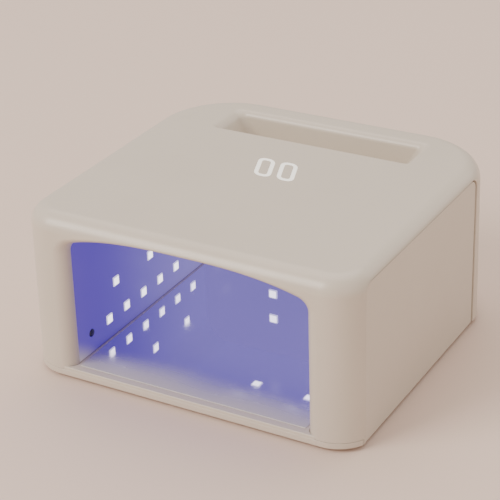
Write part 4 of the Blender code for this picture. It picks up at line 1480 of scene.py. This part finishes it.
@dataclass
class Chamber:
    """The lit chamber: liner, light beads and hand sensors."""

    step: float = 0.0006
    wall: float = 0.0018
    rear: float = 0.0545
    fall: float = 0.0406
    ceiling_corner: float = 0.0180
    flat: float = 0.0785
    foot: float = 0.0078
    flange_low: float = 0.0103
    flange_high: float = 0.0118
    flange_front: float = 0.0080
    flange_width: float = 0.0090
    bead: float = 0.0060
    row_start: float = 0.0431
    row_end: float = 0.0164
    side_shares: tuple[float, float] = (0.2164, 0.5820)
    low_count: int = 6
    high_count: int = 3
    rear_x: float = 0.0280
    rear_shares: tuple[float, float] = (0.2410, 0.5525)
    ceiling_x: float = 0.0195
    ceiling_y: float = 0.0120
    ceiling_rear: float = 0.0520
    sensor_setback: float = 0.0233
    sensor_radius: float = 0.0025
    sensor_dome: float = 0.0008
    sensor_seat: float = 0.0021
    sensor_flange_radius: float = 0.0032
    sensor_flange_end: float = 0.0033
    sensor_end: float = 0.0071
    window_corner: float = 0.0004
    window_levels: tuple[Pair, ...] = ((0.0, -0.0003), (-0.0003, 0.0001))
    frame_fit: float = 0.00004
    frame_corner: float = 0.00035
    frame_levels: tuple[Pair, ...] = ((0.0, -0.0010), (0.0, 0.00022), (0.00006, 0.00030),
                                      (0.00050, 0.00032))
    lens_inset: float = 0.0005
    lens_corner: float = 0.0007
    lens_back: float = -0.0002
    lens_rim: float = 0.00034
    lens_reach: float = 0.0019
    lens_crown: float = 0.00022
    corner_share: float = 0.95
    run_steps: int = 40
    mouth: Mouth = field(default_factory=Mouth)

    @property
    def half(self) -> float:
        """Half width between the side walls."""
        return self.mouth.half + self.step

    @property
    def front(self) -> float:
        """Depth at which the liner begins."""
        return FORM.front + self.mouth.depth + FORM.gap

    @property
    def back(self) -> float:
        """Depth of the rear wall."""
        return FORM.rear - self.rear

    @property
    def ceiling(self) -> float:
        """Height of the level part of the ceiling."""
        return FORM.top - self.fall

    @property
    def run(self) -> float:
        """Length over which the ceiling falls."""
        return self.back - FORM.front - self.flat

    @property
    def sensor_y(self) -> float:
        """Depth of the hand sensors."""
        return FORM.front + self.sensor_setback

    def level(self, share: float) -> float:
        """Height at a share of the chamber's height."""
        return self.foot + (self.ceiling - self.foot) * share

    def section(self, y: float, grow: float, low: float) -> np.ndarray:
        """The liner's section at a depth.

        A smooth step along the run carries the crown from the mouth's height down to the ceiling,
        takes out its camber and widens the shoulders.

        Args:
            y: the depth.
            grow: distance outwards.
            low: height of the section's bottom.

        Returns:
            Array of points.
        """
        share = min(max((y - self.front) / self.run, 0.0), 1.0)
        ease = share * share * (3 - 2 * share)
        top = self.mouth.top + (self.ceiling - self.mouth.top) * ease + grow
        corner = self.mouth.corner + (self.ceiling_corner - self.mouth.corner) * ease + grow
        half = self.half + grow
        return lift(arch(half, half, low, top, self.mouth.drop * (1 - ease), corner), "y", y)

    def vault(self, grow: float, low: float, front: float, back: float) -> Solid:
        """The vaulted form of the chamber."""
        run = np.linspace(self.front, self.front + self.run, self.run_steps)[1:]
        depths = np.concatenate([[front], run, [back]])
        return tube([self.section(float(y), grow, low) for y in depths])

    def beads(self) -> dict[Wall, np.ndarray]:
        """Centres of the beads on each wall, as pairs of the wall's own coordinates."""
        low_z, high_z = (self.level(share) for share in self.side_shares)
        low_y = np.linspace(FORM.front + self.row_start, self.back - self.row_end, self.low_count)
        high_y = (low_y[::2] + low_y[1::2])[:self.high_count] / 2
        sides = np.array([(y, low_z) for y in low_y] + [(y, high_z) for y in high_y])
        rear = np.array([(x, self.level(share)) for x in (-self.rear_x, self.rear_x)
                         for share in self.rear_shares])
        middle = self.back - self.ceiling_rear
        top = np.array([(x, middle + y) for x in (-self.ceiling_x, self.ceiling_x)
                        for y in (-self.ceiling_y, self.ceiling_y)])
        return {Wall.LEFT: sides, Wall.RIGHT: sides, Wall.REAR: rear, Wall.CEILING: top}

    def on_wall(self, wall: Wall, flat: np.ndarray, proud: float) -> np.ndarray:
        """Places pairs of a wall's own coordinates in the lamp, at a distance in front of the wall."""
        if wall is Wall.REAR:
            return lift(flat, "y", self.back - proud)
        if wall is Wall.CEILING:
            return lift(flat, "z", self.ceiling - proud)
        sign = Side.LEFT.value if wall is Wall.LEFT else Side.RIGHT.value
        return lift(flat, "x", sign * (self.half - proud))

    def chip(self, wall: Wall, centre: np.ndarray, half: float, radius: float,
             levels: Sequence[Pair]) -> Solid:
        """A small square body on a wall.

        Ring i is the square with round corners, drawn in by the level's inset, at its distance in
        front of the wall.

        Args:
            wall: the wall.
            centre: its centre in the wall's coordinates.
            half: half of its side.
            radius: radius of its corners.
            levels: pairs of inset and distance.

        Returns:
            The body.
        """
        rings = []
        for inset, proud in levels:
            size = half - inset
            outline = rounded(centre - size, centre + size, min(radius, size * self.corner_share), 4)
            rings.append(self.on_wall(wall, outline, proud))
        return tube(rings)

    def windows(self) -> list[Solid]:
        """Cutters of the windows that the beads look through."""
        half = self.bead / 2 + FORM.gap
        levels = ((0.0, -self.wall - FORM.gap), *self.window_levels)
        return [self.chip(wall, centre, half, self.window_corner, levels)
                for wall, centres in self.beads().items() for centre in centres]

    def build_liner(self) -> None:
        """Builds and dresses the liner."""
        outer = self.half + self.wall
        liner = put("chamber_lining", self.vault(self.wall, self.foot, self.front, self.back + self.wall))
        carve(liner, Carve.JOIN, *[
            block((side.value * (outer - FORM.gap), FORM.front + self.flange_front, self.flange_low),
                  (side.value * (outer + self.flange_width), self.back, self.flange_high))
            for side in Side
        ])
        low, front = self.foot - FORM.overrun, self.front - FORM.overrun
        carve(liner, Carve.CUT, self.vault(0.0, low, front, self.back))
        carve(liner, Carve.CUT, *self.windows())
        carve(liner, Carve.CUT, *[
            drill(self.sensor_radius + FORM.gap, -FORM.overrun, FORM.overrun, self.sensor_place(side), "x",
                  40) for side in Side
        ])
        dress(liner, LINER, "lamp", ["chamber_liner"])

    def build_beads(self) -> None:
        """Builds and dresses the frame and the lens of every bead, one piece of each per wall."""
        half = self.bead / 2 + self.frame_fit
        lens_levels = [(0.0, self.lens_back), (0.0, self.lens_rim)]
        lens_levels += [(self.lens_reach * share, self.lens_rim + self.lens_crown * math.sqrt(share))
                        for share in (0.2, 0.5, 0.9)]
        kinds = (("frames", half, self.frame_corner, self.frame_levels, CHIP_FRAME),
                 ("lenses", half - self.lens_inset, self.lens_corner, lens_levels, CHIP_LENS))
        for wall, centres in self.beads().items():
            for label, size, corner, levels, finish in kinds:
                whole = joined(self.chip(wall, centre, size, corner, levels) for centre in centres)
                dress(put(f"{wall.value}_bead_{label}", whole), finish, "lamp")

    def sensor_place(self, side: Side) -> tuple[float, float, float]:
        """Place of a side's sensor on its wall."""
        return side.value * self.half, self.sensor_y, self.level(self.side_shares[0])

    def build_sensors(self) -> None:
        """Builds and dresses the dark domes of the hand sensor."""
        radius = self.sensor_radius
        for name, side in (("sensor_emitter", Side.LEFT), ("sensor_receiver", Side.RIGHT)):
            profile = [(radius * math.sin(angle), -self.sensor_dome * math.cos(angle))
                       for angle in np.linspace(0.02, QUARTER, 12)]
            profile += [(radius, self.sensor_seat), (self.sensor_flange_radius, self.sensor_seat),
                        (self.sensor_flange_radius, self.sensor_flange_end),
                        (radius, self.sensor_flange_end), (radius, self.sensor_end)]
            placed = [(across, side.value * along) for across, along in profile]
            piece = put(f"{name}_dome", turned(placed, self.sensor_place(side), "x", 48))
            dress(piece, SMOKED, "lamp", [name])

    def build(self) -> None:
        """Builds the whole chamber."""
        self.build_liner()
        self.build_beads()
        self.build_sensors()


# Base tray


@dataclass
class BaseTray:
    """The tray that stays on the table: plate, lip, platform, mirror, feet and magnets."""

    bottom: float = 0.0020
    thickness: float = 0.0045
    chamfer: float = 0.0008
    platform_clearance: float = 0.0004
    platform_end: float = 0.0005
    platform_top: float = 0.0084
    platform_edge: float = 0.0009
    mirror_thickness: float = 0.0010
    margin: float = 0.0020
    front_margin: float = 0.0045
    proud: float = 0.0003
    foot_radius: float = 0.0070
    foot_seat: float = 0.0010
    magnet_radius: float = 0.0050
    magnet_thickness: float = 0.0020
    magnet_edge: float = 0.0003
    feet_insets: tuple[float, float, float, float] = (0.0285, 0.0225, 0.0385, 0.0365)
    magnet_insets: tuple[float, float, float, float] = (0.0185, 0.0445, 0.0185, 0.0765)
    lip_rise: float = 0.0004
    lip_edge: float = 0.0003
    roll_start: float = math.radians(15)
    mirror_corner: float = 0.0006
    mirror_edge: float = 0.0002
    foot_edge: float = 0.0006
    foot_hollow: float = 0.0004
    foot_hollow_share: float = 0.45
    foot_ring_share: float = 0.5
    mouth: Mouth = field(default_factory=Mouth)
    cheek: Cheek = field(default_factory=Cheek)
    chamber: Chamber = field(default_factory=Chamber)

    @property
    def platform_half(self) -> float:
        """Half width of the platform behind the lip."""
        return self.mouth.half - self.platform_clearance

    @property
    def platform_rear(self) -> float:
        """Depth of the platform's rear edge."""
        return self.chamber.back - self.platform_end

    @property
    def feet(self) -> tuple[Pair, ...]:
        """Centres of the feet."""
        return corners(*self.feet_insets)

    @property
    def magnets(self) -> tuple[Pair, ...]:
        """Centres of the magnets."""
        return corners(*self.magnet_insets)

    @property
    def top(self) -> float:
        """Height of the plate's upper face."""
        return self.bottom + self.thickness

    def plate_body(self) -> Solid:
        """The plate inside the shell's skirt, with a round lower edge."""
        limit = self.cheek.seat - FORM.wall - FORM.gap
        levels = edge_levels(self.chamfer, self.bottom, -1, 5)[::-1] + [(0.0, self.top)]
        rings = []
        for inset, height in levels:
            ring = FORM.plan(FORM.wall + FORM.gap + inset, FORM.skirt, limit - inset)
            ring[:, 2] = height
            rings.append(ring)
        return tube(rings)

    def lip_body(self) -> Solid:
        """The front lip, which follows the body's outline up to the seam."""
        back = FORM.front + FORM.lip_depth - FORM.gap
        levels = edge_levels(self.chamfer, self.bottom + self.lip_rise, -1, 5)[::-1]
        levels += edge_levels(self.lip_edge, FORM.lip, 1, 3)
        rings = []
        for inset, height in levels:
            ring = FORM.plan(inset, FORM.skirt, FORM.cheek_width / 2 - inset)
            ring[:, 1] = np.minimum(ring[:, 1], back)
            ring[:, 2] = height
            rings.append(ring)
        return tube(rings)

    def platform_outline(self, inset: float) -> np.ndarray:
        """Outline of the platform in X and Y, moved inwards by an inset.

        Its front end widens with the mouth's roll: at an angle a it is wider by the roll's width
        times one minus sin a, and lies the roll's depth times one minus cos a behind the face.
        """
        half, rear = self.platform_half - inset, self.platform_rear - inset
        angle = np.linspace(self.roll_start, QUARTER, 16)
        front = float(FORM.front_face(np.array(FORM.skirt))) + inset
        roll = np.stack([half + self.mouth.roll_side * (1 - np.sin(angle)),
                         front + self.mouth.depth * (1 - np.cos(angle))], axis=-1)
        right = np.concatenate([roll, [(half, rear - self.chamfer), (half - self.chamfer, rear)]])
        return np.concatenate([right, right[::-1] * np.array([-1, 1])])

    def platform_body(self) -> Solid:
        """The raised platform with a round upper edge."""
        levels = [(0.0, self.top - self.chamfer)] + edge_levels(self.platform_edge, self.platform_top, 1, 6)
        return tube([lift(self.platform_outline(inset / 2), "z", height) for inset, height in levels])

    def mirror_corners(self, gap: float) -> tuple[np.ndarray, np.ndarray]:
        """Lower and upper corner of the mirror's seat, or of the mirror where a gap is given."""
        low = np.array([-self.platform_half + self.margin + gap, FORM.front + self.front_margin + gap])
        high = np.array([self.platform_half - self.margin - gap, self.platform_rear - self.margin - gap])
        return low, high

    def build(self) -> None:
        """Builds and dresses the tray and what is on it."""
        tray = put("tray_body", self.plate_body())
        carve(tray, Carve.JOIN, self.lip_body())
        carve(tray, Carve.JOIN, self.platform_body())
        low, high = self.mirror_corners(0.0)
        floor = self.platform_top + self.proud - self.mirror_thickness - FORM.gap
        seat = rounded(low, high, self.mirror_corner, 4)
        carve(tray, Carve.CUT, tube([lift(seat, "z", height)
                                     for height in (floor, self.platform_top + FORM.overrun)]))
        carve(tray, Carve.CUT, *[
            drill(self.foot_radius + FORM.gap, -FORM.overrun, self.bottom + self.foot_seat, (x, y, 0))
            for x, y in self.feet
        ])
        carve(tray, Carve.CUT, *[
            drill(self.magnet_radius + FORM.gap, self.top - self.magnet_thickness - FORM.gap,
                  self.top + FORM.overrun, (x, y, 0))
            for x, y in self.magnets
        ])
        dress(tray, SHELL, "base", ["base_tray"])
        low, high = self.mirror_corners(FORM.gap / 4)
        face = self.platform_top + self.proud
        mirror = put("mirror_plate", plate(
            lambda inset: rounded(low + inset, high - inset, self.mirror_corner, 4), "z",
            face - self.mirror_thickness, face, self.mirror_edge))
        dress(mirror, MIRROR, "base", ["mirror_floor"])
        self.build_feet()

    def build_feet(self) -> None:
        """Builds and dresses the feet, with a shallow ring in each, and the tray's magnets."""
        for place, (x, y) in zip(PLACES, self.feet):
            radius = self.foot_radius
            profile = [(0.0, self.foot_hollow), (radius * self.foot_hollow_share, self.foot_hollow),
                       (radius * self.foot_ring_share, 0.0), (radius - self.foot_edge, 0.0)]
            profile += quarter_round(radius, self.foot_edge, 0.0, -1.0)[-2::-1]
            profile.append((radius, self.bottom + self.foot_seat - FORM.gap))
            dress(put(f"foot_{place}_pad", turned(profile, (x, y, 0))), RUBBER, "base",
                  [f"foot_{place}"])
        for place, (x, y) in zip(PLACES, self.magnets):
            profile = [(self.magnet_radius, self.top - self.magnet_thickness)]
            profile += quarter_round(self.magnet_radius, self.magnet_edge, self.top)
            dress(put(f"tray_magnet_{place}_disc", turned(profile, (x, y, 0))), NICKEL, "base",
                  [f"tray_magnet_{place}"])


# Under the body


@dataclass
class Underside:
    """Screws and magnets of the chassis, and its finish."""

    bottom: float = 0.0068
    head_radius: float = 0.0028
    head: float = 0.0018
    shank: float = 0.0015
    length: float = 0.0110
    head_edge: float = 0.0009
    slot: float = 0.0007
    slot_depth: float = 0.0009
    slot_share: float = 0.6
    post_insets: tuple[float, float, float, float] = (0.0165, 0.0225, 0.0225, 0.0425)
    tray: BaseTray = field(default_factory=BaseTray)

    @property
    def posts(self) -> tuple[Pair, ...]:
        """Centres of the screws."""
        return corners(*self.post_insets)

    def build(self) -> None:
        """Builds and dresses screws and magnets, and repaints the frame."""
        for place, (x, y) in zip(PLACES, self.posts):
            top = self.bottom + self.head - FORM.gap
            profile = quarter_round(self.head_radius, self.head_edge, self.bottom, -1.0)[::-1]
            profile += [(self.head_radius, top), (self.shank, top),
                        (self.shank, self.bottom + self.length - self.shank),
                        (self.shank / 2, self.bottom + self.length)]
            screw = put(f"chassis_screw_{place}_head", turned(profile, (x, y, 0), "z", 48))
            reach, half = self.head_radius * self.slot_share, self.slot / 2
            low, deep = self.bottom - FORM.overrun, self.bottom + self.slot_depth
            carve(screw, Carve.CUT, block((x - reach, y - half, low), (x + reach, y + half, deep)))
            carve(screw, Carve.CUT, block((x - half, y - reach, low), (x + half, y + reach, deep)))
            dress(screw, STEEL, "lamp", [f"chassis_screw_{place}"])
        for place, (x, y) in zip(PLACES, self.tray.magnets):
            radius = self.tray.magnet_radius
            profile = quarter_round(radius, self.tray.magnet_edge, self.bottom, -1.0)[::-1]
            profile.append((radius, self.bottom + self.tray.magnet_thickness))
            dress(put(f"body_magnet_{place}_disc", turned(profile, (x, y, 0))), NICKEL, "lamp",
                  [f"body_magnet_{place}"])
        repaint("chassis_frame", FRAME_PLASTIC)


# Rear controls


@dataclass
class RearControls:
    """The charging inlet and the power switch."""

    panel: RearPanel = field(default_factory=RearPanel)
    bore: float = 0.0028
    pin: float = 0.0010
    recess: float = 0.0006
    frame_depth: float = 0.0120
    frame_wall: float = 0.0012
    clearance: float = 0.0004
    tilt: float = math.radians(9)
    hollow: float = 0.0004
    inlet_floor: float = 0.0369
    inlet_half: float = 0.0055
    inlet_length: float = 0.0150
    barrel_edge: float = 0.0004
    bore_depth: float = 0.0090
    bore_lead: float = 0.0005
    bore_lead_start: float = 0.0004
    bore_lead_end: float = 0.0001
    pin_edge: float = 0.0005
    pin_sunk: float = 0.0012
    case_corner: float = 0.0008
    case_edge: float = 0.0004
    well_corner: float = 0.0003
    key_edge: float = 0.0005
    key_edge_share: float = 0.3
    mark_thickness: float = 0.00006
    bar_half: Pair = (0.00025, 0.0016)
    bar_corner: float = 0.0001
    ring_outer: float = 0.0015
    ring_inner: float = 0.0011

    def build_inlet(self) -> None:
        """Builds and dresses the inlet's barrel, with its bore and pin; its block stays as it is."""
        x, z = self.panel.inlet_x, self.panel.row
        back = FORM.rear - self.panel.thickness - FORM.gap
        face = FORM.rear - self.recess
        radius = self.panel.inlet_radius
        half = self.inlet_half
        inlet = put("power_inlet_socket", block((x - half, back - self.inlet_length, self.inlet_floor),
                                                (x + half, back, z + half)))
        barrel = [(radius, back - FORM.gap)] + quarter_round(radius, self.barrel_edge, face)
        carve(inlet, Carve.JOIN, turned(barrel, (x, 0, z), "y", 48))
        wide = self.bore + self.bore_lead
        bore = [(self.bore, back - self.bore_depth), (self.bore, face - self.bore_lead_start),
                (wide, face + self.bore_lead_end), (wide, FORM.rear + FORM.overrun)]
        carve(inlet, Carve.CUT, turned(bore, (x, 0, z), "y", 48))
        dress(inlet, DARK, "lamp", ["power_inlet"])
        root = back - self.bore_depth - self.bore_lead_end
        pin = [(self.pin, root)] + quarter_round(self.pin, self.pin_edge, face - self.pin_sunk)
        dress(put("power_inlet_pin", turned(pin, (x, 0, z), "y", 32)), NICKEL, "lamp")

    def build_switch(self) -> None:
        """Builds and dresses the switch's frame and its rocker with its two marks."""
        x, z = self.panel.switch_x, self.panel.row
        half, tall = self.panel.switch_length / 2, self.panel.switch_height / 2
        face = FORM.rear
        back = face - self.frame_depth

        def outline(inset: float, corner: float, steps: int) -> np.ndarray:
            """The switch's outline in X and Z, moved inwards by an inset."""
            return rounded((x - half + inset, z - tall + inset), (x + half - inset, z + tall - inset), corner,
                           steps)

        case = put("switch_case", plate(lambda inset: outline(inset, self.case_corner, 6), "y", back,
                                        face - self.recess, self.case_edge))
        well = outline(self.frame_wall, self.well_corner, 3)
        carve(case, Carve.CUT, tube([lift(well, "y", back + self.frame_wall),
                                     lift(well, "y", face + FORM.overrun)]))
        dress(case, DARK, "lamp", ["switch_frame"])
        self.build_rocker(x, z, face)

    def build_rocker(self, x: float, z: float, face: float) -> None:
        """Builds and dresses the rocker.

        Its section has two hollow wings that meet in a crest: each wing's height falls from the
        crest to its tip in a straight line and dips by a sine in between. A half circle closes the
        back, and the whole is turned about the pivot by the tilt.

        Args:
            x: place of the pivot.
            z: height of the switch.
            face: plane of the back.
        """
        half_length = self.panel.switch_length / 2 - self.frame_wall - self.clearance
        half_height = self.panel.switch_height / 2 - self.frame_wall - self.clearance
        pivot = face - self.frame_depth / 2
        crest = face - self.recess - pivot
        wing = crest - half_length * math.tan(self.tilt) / 2
        tip = (half_length - wing * math.sin(self.tilt)) / math.cos(self.tilt)
        root = self.frame_depth / 2 - self.frame_wall - self.clearance
        across = np.linspace(tip, -tip, 33)
        share = np.abs(across) / tip
        height = crest + (wing - crest) * share - self.hollow * np.sin(math.pi * share)
        angle = np.linspace(0, math.pi, 17)
        outline = np.concatenate([
            np.stack([across, height], axis=-1),
            np.stack([-root * np.cos(angle), -root * np.sin(angle)], axis=-1),
        ])
        cosine, sine = math.cos(self.tilt), math.sin(self.tilt)
        turn = np.array([[cosine, -sine], [sine, cosine]])
        edge, near = self.key_edge, self.key_edge * self.key_edge_share
        reach = np.abs(outline).max()
        levels = ((-half_height, edge), (-half_height + near, near), (-half_height + edge, 0),
                  (half_height - edge, 0), (half_height - near, near), (half_height, edge))
        rocker = put("power_rocker_key", tube([
            lift(outline * (1 - inset / reach) @ turn.T + np.array([x, pivot]), "z", z + offset)
            for offset, inset in levels]))
        dress(rocker, DARK, "rocker", ["power_rocker"], 40)
        self.build_marks((tip, wing, crest), (x, pivot, z), turn)

    def on_wing(self, flat: np.ndarray, proud: float, shape: tuple[float, float, float],
                place: tuple[float, float, float], turn: np.ndarray) -> np.ndarray:
        """Lays a flat outline on the rocker's hollow wings.

        Args:
            flat: pairs along and across the rocker.
            proud: distance in front of the face.
            shape: half length, height at the tip and height of the crest.
            place: the pivot's X and Y and the switch's height.
            turn: matrix of the tilt.

        Returns:
            Array of points.
        """
        tip, wing, crest = shape
        share = np.abs(flat[:, 0]) / tip
        height = crest + (wing - crest) * share - self.hollow * np.sin(math.pi * share) + proud
        local = np.stack([flat[:, 0], height], axis=-1) @ turn.T + np.array(place[:2])
        return np.stack([local[:, 0], local[:, 1], place[2] + flat[:, 1]], axis=-1)

    def build_marks(self, shape: tuple[float, float, float], place: tuple[float, float, float],
                    turn: np.ndarray) -> None:
        """Builds the bar and the ring on the rocker's wings, as thin inlays that follow the hollow.

        Args:
            shape: half length, height at the tip and height of the crest.
            place: the pivot's X and Y and the switch's height.
            turn: matrix of the tilt.
        """
        thick = self.mark_thickness
        middle = shape[0] / 2
        across, along = self.bar_half
        bar = rounded((middle - across, -along), (middle + across, along), self.bar_corner, 3)
        angle = np.linspace(0, FULL, 40, endpoint=False)
        circle = np.stack([np.cos(angle), np.sin(angle)], axis=-1)
        centre = np.array([-middle, 0])
        outer, inner = circle * self.ring_outer + centre, circle * self.ring_inner + centre
        for name, levels, closed in (
            ("power_rocker_bar_mark", ((bar, -thick), (bar, thick)), False),
            ("power_rocker_ring_mark",
             ((outer, -thick), (outer, thick), (inner, thick), (inner, -thick)), True),
        ):
            rings = [self.on_wing(outline, proud, shape, place, turn) for outline, proud in levels]
            dress(put(name, tube(rings, closed)), MARK, "rocker")

    def build(self) -> None:
        """Builds inlet and switch."""
        self.build_inlet()
        self.build_switch()


# Inner parts


@dataclass
class InnerParts:
    """The boards, cells and frames inside the body, which keep their solids."""

    finishes: tuple[tuple[Finish, tuple[str, ...]], ...] = (
        (BOARD, ("left_light_board", "right_light_board", "rear_light_board", "ceiling_light_board",
                 "control_board", "power_board")),
        (DARK, ("display_module",)),
        (FRAME_PLASTIC, ("cell_cradle",)),
        (CELL, ("cell_1", "cell_2", "cell_3", "cell_4")),
    )

    def build(self) -> None:
        """Gives each solid its finish."""
        for finish, nodes in self.finishes:
            for node in nodes:
                repaint(node, finish)


# Studio


@dataclass
class Studio:
    """Floor, lights, sky and camera."""

    floor_size: float = 6.0
    floor_colour: Colour = (0.800, 0.632, 0.545)
    sky: Colour = (0.90, 0.81, 0.73)
    sky_strength: float = 0.82
    place: tuple[float, float, float] = (0.4524156, -0.8037071, 0.5281273)
    yaw: float = math.radians(30.152)
    pitch: float = math.radians(26.971)
    roll: float = math.radians(-1.862)
    focal: float = 1658.8
    pixels: float = 500.0
    sensor: float = 36.0
    floor_points: int = 13
    floor_drift: float = 0.96
    floor_drift_scale: float = 2.0
    floor_roughness: float = 0.72
    warm: Colour = (1.0, 0.95, 0.89)
    lights: tuple[tuple[str, Colour, float, float, float], ...] = (
        ("key", (-1.35, -1.90, 1.80), 0.05, 1.4, 64.0),
        ("overhead", (-0.4, 0.8, 2.2), 0.05, 2.2, 26.0),
        ("right_fill", (2.1, -0.9, 0.8), 0.05, 1.6, 4.0),
        ("back_rim", (0.9, 1.8, 1.2), 0.08, 1.2, 6.0),
    )

    def build_floor(self) -> None:
        """Builds the table as one broad sheet with a slow drift of tone."""
        reach = self.floor_size / 2
        across = np.linspace(-reach, reach, self.floor_points)
        x, y = np.meshgrid(across, across, indexing="ij")
        points = np.stack([x, y, np.zeros_like(x)], axis=-1).reshape(-1, 3)
        grid = np.arange(x.size).reshape(x.shape)
        faces = np.stack([grid[:-1, :-1], grid[1:, :-1], grid[1:, 1:], grid[:-1, 1:]], axis=-1).reshape(-1, 4)
        floor = bpy.data.objects.new("table", Solid(points, [faces]).mesh("table"))
        bpy.context.scene.collection.objects.link(floor)
        drift = tuple(channel * self.floor_drift for channel in self.floor_colour)
        paint = Moulded("table_paint", self.floor_colour, self.floor_roughness, drift=drift,
                        drift_scale=self.floor_drift_scale, grain=0.0)
        floor.data.materials.append(paint.material())

    def build_lights(self) -> None:
        """Adds a key from the front left, a broad light overhead and two weak ones on the right.

        Each is a square that looks at a height over the origin.
        """
        for name, place, height, size, power in self.lights:
            data = bpy.data.lights.new(name, "AREA")
            data.shape = "SQUARE"
            data.size = size
            data.energy = power
            data.color = self.warm
            lamp = bpy.data.objects.new(name, data)
            lamp.location = place
            away = Vector(place) - Vector((0, 0, height))
            lamp.rotation_euler = away.to_track_quat("Z", "Y").to_euler()
            bpy.context.scene.collection.objects.link(lamp)

    def build_sky(self) -> None:
        """Sets an even pale sky."""
        world = bpy.data.worlds.new("sky")
        world.use_nodes = True
        background = world.node_tree.nodes["Background"]
        background.inputs["Color"].default_value = (*self.sky, 1)
        background.inputs["Strength"].default_value = self.sky_strength
        bpy.context.scene.world = world

    def build_camera(self) -> None:
        """Sets the camera from its yaw, pitch and roll."""
        level = math.cos(self.pitch)
        back = Vector((math.sin(self.yaw) * level, -math.cos(self.yaw) * level, math.sin(self.pitch)))
        right = Vector((math.cos(self.yaw), math.sin(self.yaw), 0))
        up = back.cross(right)
        right_turned = right * math.cos(self.roll) + up * math.sin(self.roll)
        up_turned = up * math.cos(self.roll) - right * math.sin(self.roll)
        data = bpy.data.cameras.new("camera")
        data.sensor_width = self.sensor
        data.lens = self.focal / self.pixels * self.sensor
        camera = bpy.data.objects.new("camera", data)
        turn = Matrix((right_turned, up_turned, back)).transposed().to_4x4()
        camera.matrix_world = Matrix.Translation(self.place) @ turn
        bpy.context.scene.collection.objects.link(camera)
        bpy.context.scene.camera = camera

    def build(self) -> None:
        """Builds the whole studio."""
        self.build_camera()
        self.build_floor()
        self.build_lights()
        self.build_sky()


def main() -> None:
    """Builds the scene."""
    logging.basicConfig(level=logging.INFO, format="%(name)s: %(message)s")
    for group in (Studio(), UpperShell(), Chamber(), BaseTray(), Underside(), RearControls(), InnerParts()):
        group.build()


if __name__ == "__main__":
    main()
